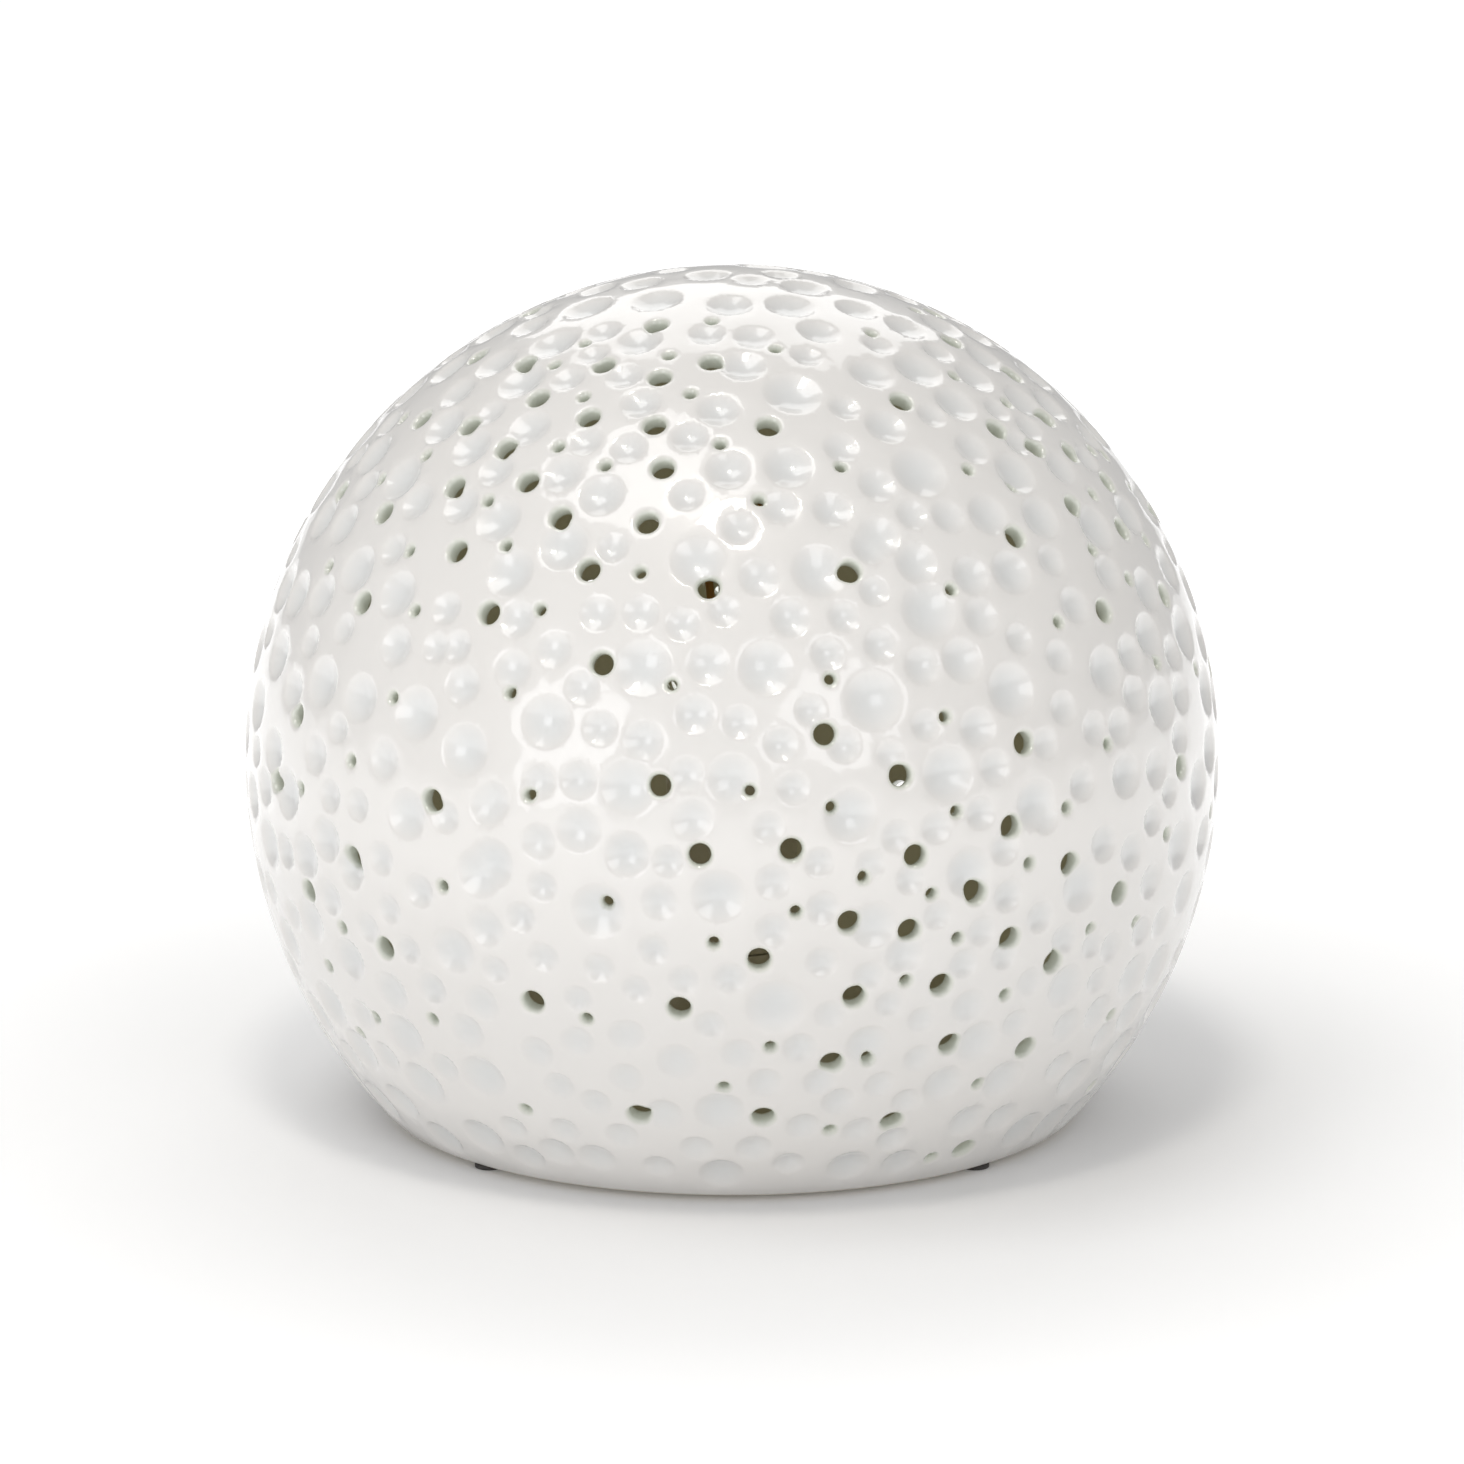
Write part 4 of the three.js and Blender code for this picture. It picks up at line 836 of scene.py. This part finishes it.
def bright_metal(name, bright, dull, ridges, depth):
    """Bright metal, bare or plated, dulled in patches by handling, with rings round the Z axis a
    ridge apart, such as a fine thread or the marks of turning."""
    made = empty_material(name)
    place = node(made, "ShaderNodeTexCoord").outputs["Object"]
    patches = node(made, "ShaderNodeTexNoise", {"Vector": place, "Scale": 1 / (4 * mm), "Detail": 4.0})
    tone = node(made, "ShaderNodeMix", {
        0: patches.outputs["Fac"], 6: colour(bright), 7: colour(dull)}, data_type="RGBA")
    roughness = node(made, "ShaderNodeMapRange", {
        "Value": patches.outputs["Fac"], "To Min": 0.18, "To Max": 0.42})
    # A wave at a scale of 1 repeats every tenth of pi
    rings = node(made, "ShaderNodeTexWave", {
        "Vector": place, "Scale": math.pi / 10 / ridges, "Distortion": 0.0}, bands_direction="Z")
    relief = node(made, "ShaderNodeBump", {
        "Height": rings.outputs["Fac"], "Strength": 0.8, "Distance": depth})
    shader = node(made, "ShaderNodeBsdfPrincipled", {
        "Base Color": tone.outputs[2], "Metallic": 1.0, "Roughness": roughness.outputs["Result"],
        "Normal": relief.outputs[0]})
    node(made, "ShaderNodeOutputMaterial", {"Surface": shader.outputs[0]})
    return made


zinc = bright_metal("zinc plated steel", "#c9ccce", "#a9acae", LAMP_THREAD, 0.3 * mm)
finish_nodes(zinc, "nipple_tube", "toothed_washer", "grub_screw")
brass = bright_metal("turned brass", "#d2ae66", "#b08c47", 0.25 * mm, 0.01 * mm)
finish_nodes(brass, "lock_nut", "terminal_screw_1", "terminal_screw_2", "centre_contact", "side_contact")

# ---------------------------------------------------------------- lampholder
# A small-screw holder in two moulded pieces: an entry cap that screws on the nipple, and a long
# shell screwed on the cap, where a fine groove marks the seam. White heat-resistant resin.

HOLDER_WALL = 1.6 * mm
HOLDER_INNER = 11.9 * mm
BOSS_RADIUS = 8.5 * mm
BOSS_HEIGHT = 3 * mm
CONE_HEIGHT = 9 * mm
FLARE_RADIUS = 11.5 * mm
FLARE_RISE = 2 * mm
CAP_SHELF = 0.5 * mm             # inside the boss, where its bore opens out
GRUB_HOLE = 1.8 * mm
SHELL_MOUTH = 10.2 * mm
MOUTH_BEVEL_IN = 0.7 * mm
MOUTH_BEVEL_DOWN = 1 * mm
SEAM_LOW = 2.3 * mm              # the groove at the seam, above the shell's lower end
SEAM_HIGH = 3.4 * mm
SEAM_DEPTH = 0.35 * mm
SEAM_SLOPE = 0.3 * mm
SHELL_ROUNDING = 0.35 * mm

low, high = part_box("lampholder_cap")
holder_radius = high.x
boss_top = low.z + BOSS_HEIGHT
cone_top = low.z + CONE_HEIGHT
cap_rounding = np.array([0.2, 0.35, 1.5, 1, 0.6, 0.3, 0.2, 0.2, 0.3, 1]) * mm
cap_outline = eased([
    (HOLDER_INNER, high.z), (holder_radius, high.z), (holder_radius, cone_top),
    (FLARE_RADIUS, boss_top + FLARE_RISE), (BOSS_RADIUS, boss_top), (BOSS_RADIUS, low.z),
    (NIPPLE_HOLE, low.z), (NIPPLE_HOLE, boss_top + HOLDER_WALL),
    (BOSS_RADIUS - CAP_SHELF, boss_top + HOLDER_WALL), (HOLDER_INNER, cone_top + HOLDER_WALL / 2),
], cap_rounding)
holder_cap = piece("resin_entry_cap", *turned(cap_outline, 96), "base", "lampholder_cap")
grub_low, grub_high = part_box("grub_screw")
bar, bar_faces = drill(GRUB_HOLE, 32)
bored(holder_cap, bar[:, [2, 0, 1]] + [0, 0, (grub_low.z + grub_high.z) / 2], bar_faces, 35)

low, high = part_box("lampholder_shell")
seam_floor = holder_radius - SEAM_DEPTH
shell_outline = eased([
    (SHELL_MOUTH, high.z), (holder_radius - MOUTH_BEVEL_IN, high.z),
    (holder_radius, high.z - MOUTH_BEVEL_DOWN), (holder_radius, low.z + SEAM_HIGH),
    (seam_floor, low.z + SEAM_HIGH - SEAM_SLOPE), (seam_floor, low.z + SEAM_LOW + SEAM_SLOPE),
    (holder_radius, low.z + SEAM_LOW), (holder_radius, low.z), (HOLDER_INNER, low.z),
    (HOLDER_INNER, high.z - HOLDER_WALL), (SHELL_MOUTH, high.z - HOLDER_WALL),
], SHELL_ROUNDING)
shell = piece("resin_shell", *turned(shell_outline, 96), "base", "lampholder_shell", crease=40)


def moulded_resin():
    """Compression-moulded white resin: a dry satin surface with faint grey flow clouds about
    10 mm long and a fine pebble left by the mould."""
    made = empty_material("moulded white resin")
    place = node(made, "ShaderNodeTexCoord").outputs["Object"]
    flow = node(made, "ShaderNodeTexNoise", {
        "Vector": place, "Scale": 1 / (10 * mm), "Detail": 5.0, "Distortion": 1.5})
    pebble = node(made, "ShaderNodeTexNoise", {"Vector": place, "Scale": 1 / (0.6 * mm), "Detail": 2.0})
    tone = node(made, "ShaderNodeMix", {
        0: flow.outputs["Fac"], 6: colour("#efebe1"), 7: colour("#dfdace")}, data_type="RGBA")
    roughness = node(made, "ShaderNodeMapRange", {
        "Value": flow.outputs["Fac"], "To Min": 0.34, "To Max": 0.5})
    relief = node(made, "ShaderNodeBump", {
        "Height": pebble.outputs["Fac"], "Strength": 0.25, "Distance": 0.04 * mm})
    shader = node(made, "ShaderNodeBsdfPrincipled", {
        "Base Color": tone.outputs[2], "Roughness": roughness.outputs["Result"], "IOR": 1.5,
        "Normal": relief.outputs[0]})
    node(made, "ShaderNodeOutputMaterial", {"Surface": shader.outputs[0]})
    return made


resin = moulded_resin()
holder_cap.data.materials.append(resin)
shell.data.materials.append(resin)

# ---------------------------------------------------------------- ceramic insert
# The body inside the holder, pressed and fired from steatite powder, unglazed: it carries the
# screw shell and the contacts.


def steatite():
    """Unglazed steatite: matt, off-white, with fine tan specks about 0.7 mm apart."""
    made = empty_material("unglazed steatite")
    place = node(made, "ShaderNodeTexCoord").outputs["Object"]
    specks = node(made, "ShaderNodeTexNoise", {"Vector": place, "Scale": 1 / (0.7 * mm), "Detail": 3.0})
    spotted = node(made, "ShaderNodeMapRange", {
        "Value": specks.outputs["Fac"], "From Min": 0.62, "From Max": 0.75})
    tone = node(made, "ShaderNodeMix", {
        0: spotted.outputs["Result"], 6: colour("#ddd8ca"), 7: colour("#b3a489")}, data_type="RGBA")
    relief = node(made, "ShaderNodeBump", {
        "Height": specks.outputs["Fac"], "Strength": 0.3, "Distance": 0.06 * mm})
    shader = node(made, "ShaderNodeBsdfPrincipled", {
        "Base Color": tone.outputs[2], "Roughness": 0.62, "IOR": 1.55, "Normal": relief.outputs[0]})
    node(made, "ShaderNodeOutputMaterial", {"Surface": shader.outputs[0]})
    return made


finish_nodes(steatite(), "lampholder_insert")

# ---------------------------------------------------------------- screw shell and bulb cap
# The two threaded sleeves, rolled from thin brass and nickel plated. The bulb's opens into a
# plain skirt round the neck of its glass.

THREAD_PITCH = 2.822 * mm
THREAD_DEPTH = 0.35 * mm
THREAD_ROW = 0.25 * mm
THREAD_LIFT = 4 * mm             # screw shell above the floor of its well
SHELL_THREAD = 7 * mm
THREAD_SHEET = 0.6 * mm
CAP_THREAD = 6.5 * mm
CAP_SLEEVE = 5.55 * mm
CAP_THREAD_HEIGHT = 12.5 * mm
CAP_SKIRT_HEIGHT = 3.7 * mm
SKIRT_INNER = 7.4 * mm

shell_low, shell_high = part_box("screw_shell")
well_floor = shell_low.z - THREAD_LIFT


def rolled(points, bottom, top, from_radius):
    """Points further out than a radius are pushed along a right-hand helix: by the depth times
    the cosine of the height in turns less the angle round, fading to nothing at both ends."""
    radius = np.hypot(points[:, 0], points[:, 1])
    fade = np.clip(np.minimum(points[:, 2] - bottom, top - points[:, 2]) / (THREAD_PITCH / 2), 0, 1)
    turns = 2 * math.pi * (points[:, 2] - well_floor) / THREAD_PITCH
    wave = np.cos(turns - np.arctan2(points[:, 1], points[:, 0]))
    push = np.where(radius > from_radius, THREAD_DEPTH * fade * wave, 0)
    return points * np.stack([1 + push / radius, 1 + push / radius, np.ones(len(points))], -1)


def thread_rows(radius, bottom, top):
    """Outline points at one radius, evenly spaced from the top of a thread to the bottom."""
    heights = np.linspace(top, bottom, round((top - bottom) / THREAD_ROW) + 1)
    return [(radius, height) for height in heights.tolist()]


nickel = bright_metal("nickel plated brass", "#d3d0c9", "#b3b0a8", 0.3 * mm, 0.004 * mm)
sleeve = thread_rows(SHELL_THREAD + THREAD_SHEET, shell_low.z, shell_high.z)
sleeve += thread_rows(SHELL_THREAD, shell_low.z, shell_high.z)[::-1]
points, faces = turned(sleeve, 72)
points = rolled(points, shell_low.z, shell_high.z, 0)
screw_shell = piece("rolled_screw_shell", points, faces, "base", "screw_shell", crease=60)
screw_shell.data.materials.append(nickel)

low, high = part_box("bulb_cap")
neck = low.z + CAP_THREAD_HEIGHT
skirt_radius = high.x
cap_rim = high.z
sleeve = [(SKIRT_INNER, cap_rim), (skirt_radius, cap_rim), (skirt_radius, cap_rim - CAP_SKIRT_HEIGHT)]
sleeve += thread_rows(CAP_THREAD, low.z, neck)
sleeve += [(CAP_SLEEVE, low.z), (CAP_SLEEVE, neck), (SKIRT_INNER, cap_rim - CAP_SKIRT_HEIGHT)]
points, faces = turned(sleeve, 72)
points = rolled(points, low.z, neck, CAP_THREAD - THREAD_DEPTH)
bulb_cap = piece("rolled_bulb_cap", points, faces, "bulb", "bulb_cap", crease=60)
bulb_cap.data.materials.append(nickel)

# ---------------------------------------------------------------- contact and its insulator
# Under the bulb cap: black glass poured in as an insulator, and a blob of solder that meets the
# sprung contact of the holder.


def black_glass():
    """Poured black glass: deep black, glossy, with shallow flow ripples 2 mm across."""
    made = empty_material("poured black glass")
    place = node(made, "ShaderNodeTexCoord").outputs["Object"]
    ripples = node(made, "ShaderNodeTexNoise", {"Vector": place, "Scale": 1 / (2 * mm), "Detail": 2.0})
    tone = node(made, "ShaderNodeMix", {
        0: ripples.outputs["Fac"], 6: colour("#121110"), 7: colour("#23201e")}, data_type="RGBA")
    relief = node(made, "ShaderNodeBump", {
        "Height": ripples.outputs["Fac"], "Strength": 0.4, "Distance": 0.1 * mm})
    shader = node(made, "ShaderNodeBsdfPrincipled", {
        "Base Color": tone.outputs[2], "Roughness": 0.12, "IOR": 1.52, "Normal": relief.outputs[0]})
    node(made, "ShaderNodeOutputMaterial", {"Surface": shader.outputs[0]})
    return made


finish_nodes(black_glass(), "bulb_insulator")
finish_nodes(bright_metal("tin solder", "#c3c4c4", "#8f9091", 1.2 * mm, 0.05 * mm), "bulb_contact")

# ---------------------------------------------------------------- candle bulb glass
# A candle-shaped bulb blown from thin clear glass, sealed at the neck on a pressed glass stem
# that carries the wires.

GLASS_NECK = 7.1 * mm
GLASS_NECK_DEPTH = 3.4 * mm      # part of the neck inside the cap
GLASS_WIDEST = 17.5 * mm
GLASS_WALL = 0.8 * mm
GLASS_SHOULDER = 26 * mm         # cap rim to widest place
GLASS_FLAME = 47 * mm            # widest place to tip
STEM_RADIUS = 2.2 * mm
STEM_PINCH = 4 * mm
STEM_FLARE_RISE = 6 * mm


def candle(inset):
    """Radii and heights up one side of the bulb. The shoulder swells from neck to widest place by
    the sine of its share of a quarter turn, to the power 1.4; the flame tapers by the cosine of
    its share, to the power 0.8, times one less 0.12 of the share. Its points crowd at the tip."""
    neck, widest = GLASS_NECK - inset, GLASS_WIDEST - inset
    share = np.linspace(0, 1, 26)
    shoulder = neck + (widest - neck) * np.sin(share * math.pi / 2) ** 1.4
    climb = 1 - (1 - np.linspace(0, 1, 44)[1:]) ** 1.6
    flame = widest * np.maximum(np.cos(climb * math.pi / 2), 0) ** 0.8 * (1 - 0.12 * climb)
    flame[-1] = 0
    radii = np.r_[neck, shoulder, flame]
    flame_heights = GLASS_SHOULDER + (GLASS_FLAME - inset) * climb
    heights = np.r_[-GLASS_NECK_DEPTH, GLASS_SHOULDER * share, flame_heights]
    return np.stack([radii, cap_rim + heights], -1)


envelope = piece("blown_envelope", *turned(np.vstack([candle(0)[::-1], candle(GLASS_WALL)]), 72),
                 "bulb", "bulb_glass", crease=60)
stem_low, stem_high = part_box("bulb_stem")
stem_outline = eased([
    (0, stem_high.z), (0.7 * STEM_RADIUS, stem_high.z), (STEM_RADIUS, stem_high.z - STEM_PINCH),
    (0.8 * STEM_RADIUS, cap_rim + STEM_FLARE_RISE), (stem_high.x, stem_low.z + 1 * mm),
    (stem_high.x, stem_low.z), (0, stem_low.z),
], [0, 0.8 * mm, 1.5 * mm, 3 * mm, 0.4 * mm, 0.2 * mm, 0])
stem = piece("pressed_stem", *turned(stem_outline, 48), "bulb", "bulb_stem", crease=60)


def blown_glass():
    """Clear soda glass, blown: perfectly smooth, very slightly uneven over about 12 mm, and barely
    warm in tone."""
    made = empty_material("blown clear soda glass")
    place = node(made, "ShaderNodeTexCoord").outputs["Object"]
    uneven = node(made, "ShaderNodeTexNoise", {"Vector": place, "Scale": 1 / (12 * mm), "Detail": 1.0})
    tone = node(made, "ShaderNodeMix", {
        0: uneven.outputs["Fac"], 6: colour("#fbfcfa"), 7: colour("#f4f6f1")}, data_type="RGBA")
    relief = node(made, "ShaderNodeBump", {
        "Height": uneven.outputs["Fac"], "Strength": 0.2, "Distance": 0.2 * mm})
    shader = node(made, "ShaderNodeBsdfPrincipled", {
        "Base Color": tone.outputs[2], "Roughness": 0.0, "IOR": 1.5, "Transmission Weight": 1.0,
        "Normal": relief.outputs[0]})
    node(made, "ShaderNodeOutputMaterial", {"Surface": shader.outputs[0]})
    return made


clear_glass = blown_glass()
envelope.data.materials.append(clear_glass)
stem.data.materials.append(clear_glass)

# ---------------------------------------------------------------- filaments and wires
# Four sticks of tiny diodes under amber phosphor gel, with a bright metal clip at each end,
# spread like a sheaf and welded to plated wires.

FILAMENT_LENGTH = 38 * mm
FILAMENT_RADIUS = 0.85 * mm
FILAMENT_FOOT = 3.2 * mm
FILAMENT_HEAD = 7.2 * mm
FILAMENT_TURN = 24               # degrees from +X to the first
FILAMENT_LIFT = 18.5 * mm        # its foot above the rim of the bulb's cap
CLIP = 1.6 * mm
CLIP_EDGE = 0.06 * mm


def phosphor_gel():
    """Silicone gel full of yellow phosphor: waxy amber, lumpy over about 1.5 mm where it was
    dripped on; the clips at the ends are bare plated metal."""
    made = empty_material("amber phosphor gel")
    place = node(made, "ShaderNodeTexCoord").outputs["Object"]
    clip = node(made, "ShaderNodeAttribute", attribute_name="clip").outputs["Fac"]
    lumps = node(made, "ShaderNodeTexNoise", {"Vector": place, "Scale": 1 / (1.5 * mm), "Detail": 2.0})
    gel = node(made, "ShaderNodeMix", {
        0: lumps.outputs["Fac"], 6: colour("#e3a02f"), 7: colour("#c98420")}, data_type="RGBA")
    tone = node(made, "ShaderNodeMix", {
        0: clip, 6: gel.outputs[2], 7: colour("#c9c6be")}, data_type="RGBA")
    roughness = node(made, "ShaderNodeMapRange", {"Value": clip, "To Min": 0.42, "To Max": 0.25})
    relief = node(made, "ShaderNodeBump", {
        "Height": lumps.outputs["Fac"], "Strength": 0.5, "Distance": 0.15 * mm})
    shader = node(made, "ShaderNodeBsdfPrincipled", {
        "Base Color": tone.outputs[2], "Metallic": clip, "Roughness": roughness.outputs["Result"],
        "Normal": relief.outputs[0]})
    node(made, "ShaderNodeOutputMaterial", {"Surface": shader.outputs[0]})
    return made


phosphor = phosphor_gel()
lean = math.asin((FILAMENT_HEAD - FILAMENT_FOOT) / FILAMENT_LENGTH)
stick_outline = eased([
    (0, FILAMENT_LENGTH), (FILAMENT_RADIUS, FILAMENT_LENGTH), (FILAMENT_RADIUS, FILAMENT_LENGTH - CLIP),
    (FILAMENT_RADIUS, FILAMENT_LENGTH - CLIP - CLIP_EDGE), (FILAMENT_RADIUS, CLIP + CLIP_EDGE),
    (FILAMENT_RADIUS, CLIP), (FILAMENT_RADIUS, 0), (0, 0),
], [0, 0.4 * mm, 0, 0, 0, 0, 0.4 * mm, 0])
stick, stick_faces = turned(stick_outline, 20)
clip_end = CLIP + CLIP_EDGE / 2
on_clip = (stick[:, 2] < clip_end) | (stick[:, 2] > FILAMENT_LENGTH - clip_end)
for number in (1, 2, 3, 4):
    turn = math.radians(FILAMENT_TURN + 90 * (number - 1))
    outwards = np.array([math.cos(turn), math.sin(turn), 0])
    sideways = np.array([-math.sin(turn), math.cos(turn), 0])
    upwards = np.array([0, 0, 1])
    axis = math.sin(lean) * outwards + math.cos(lean) * upwards
    across = math.cos(lean) * outwards - math.sin(lean) * upwards
    foot = FILAMENT_FOOT * outwards + (cap_rim + FILAMENT_LIFT) * upwards
    points = foot + stick @ np.stack([across, sideways, axis])
    filament = piece(
        f"phosphor_stick_{number}", points, stick_faces, "bulb", f"filament_{number}", crease=60)
    save_share(filament.data, "clip", on_clip)
    filament.data.materials.append(phosphor)
finish_nodes(nickel, "lower_wires", "upper_wires")

# ---------------------------------------------------------------- studio
# A white paper floor with a painted glow, dim round the globe and brighter further out, where it fades
# into a bright room; two square softboxes in front, a small lamp above, and a large panel overhead and
# another behind.

VIEW_RISE = 12.92                # degrees above the table
VIEW_DISTANCE = 1.2
AIM_HEIGHT = 78.4 * mm
LENS = 143.2                     # mm, for a sensor 36 mm wide
FLOOR_REACH = 30.0
room = bpy.data.worlds.new("bright studio")
bpy.context.scene.world = room
room.use_nodes = True
room.node_tree.nodes["Background"].inputs["Color"].default_value = colour("#ffffff")
room.node_tree.nodes["Background"].inputs["Strength"].default_value = 0.42

rise = math.radians(VIEW_RISE)
lens = bpy.data.cameras.new("studio_camera")
lens.lens = LENS
lens.sensor_width = 36
viewer = bpy.data.objects.new("studio_camera", lens)
viewer.location = (0, -VIEW_DISTANCE * math.cos(rise), EQUATOR + VIEW_DISTANCE * math.sin(rise))
drop = math.atan2(viewer.location.z - AIM_HEIGHT, -viewer.location.y)
viewer.rotation_euler = (math.pi / 2 - drop, 0, 0)
bpy.context.scene.collection.objects.link(viewer)
bpy.context.scene.camera = viewer


def softbox(name, place, aim, size, power, tint):
    """A square lamp at a place, turned so that its face looks at the aim."""
    light = bpy.data.lights.new(name, "AREA")
    light.shape = "SQUARE"
    light.size = size
    light.energy = power
    light.color = colour(tint)[:3]
    lamp = bpy.data.objects.new(name, light)
    lamp.location = place
    toward = np.array(aim) - np.array(place)
    lamp.rotation_euler = (math.acos(-toward[2] / np.linalg.norm(toward)), 0,
                           math.atan2(toward[1], toward[0]) - math.pi / 2)
    bpy.context.scene.collection.objects.link(lamp)


globe_middle = (0, 0, EQUATOR)
softbox("left_softbox", (-0.7, -0.95, 0.34), globe_middle, 0.5, 1.8, "#fbfcff")
softbox("right_softbox", (0.42, -1.0, 0.5), globe_middle, 0.45, 1.2, "#fbfcff")
softbox("top_light", (-0.05, -0.5, 1.2), globe_middle, 0.2, 2.6, "#fffaf2")
softbox("overhead_light", (-0.6, -0.3, 2.1), globe_middle, 1.0, 8.0, "#ffffff")
softbox("back_light", (0, 1.6, 1.6), globe_middle, 1.5, 9.0, "#ffffff")

floor_mesh = bpy.data.meshes.new("floor")
corners = [(x * FLOOR_REACH, y * FLOOR_REACH, 0) for x, y in ((-1, -1), (1, -1), (1, 1), (-1, 1))]
floor_mesh.from_pydata(corners, [], [(0, 1, 2, 3)])
floor = bpy.data.objects.new("floor", floor_mesh)
bpy.context.scene.collection.objects.link(floor)
paper = empty_material("white paper floor with painted glow")
spread = node(paper, "ShaderNodeTexCoord").outputs["Object"]
reach = node(paper, "ShaderNodeVectorMath", {0: spread}, operation="LENGTH").outputs["Value"]
# Painted light: the paper glows faintly within 0.1 m of the globe's axis, a painted shade round its
# foot, and more brightly from 0.35 m out
glow = node(paper, "ShaderNodeMapRange", {
    "Value": reach, "From Min": 0.1, "From Max": 0.35, "To Min": 0.05, "To Max": 0.56})
lit_paper = node(paper, "ShaderNodeBsdfPrincipled", {
    "Base Color": colour("#f4f4f4"), "Roughness": 1.0, "Specular IOR Level": 0.0,
    "Emission Color": colour("#ffffff"), "Emission Strength": glow.outputs["Result"]})
node(paper, "ShaderNodeOutputMaterial", {"Surface": lit_paper.outputs[0]})
floor_mesh.materials.append(paper)
bpy.context.scene.view_settings.view_transform = "Standard"
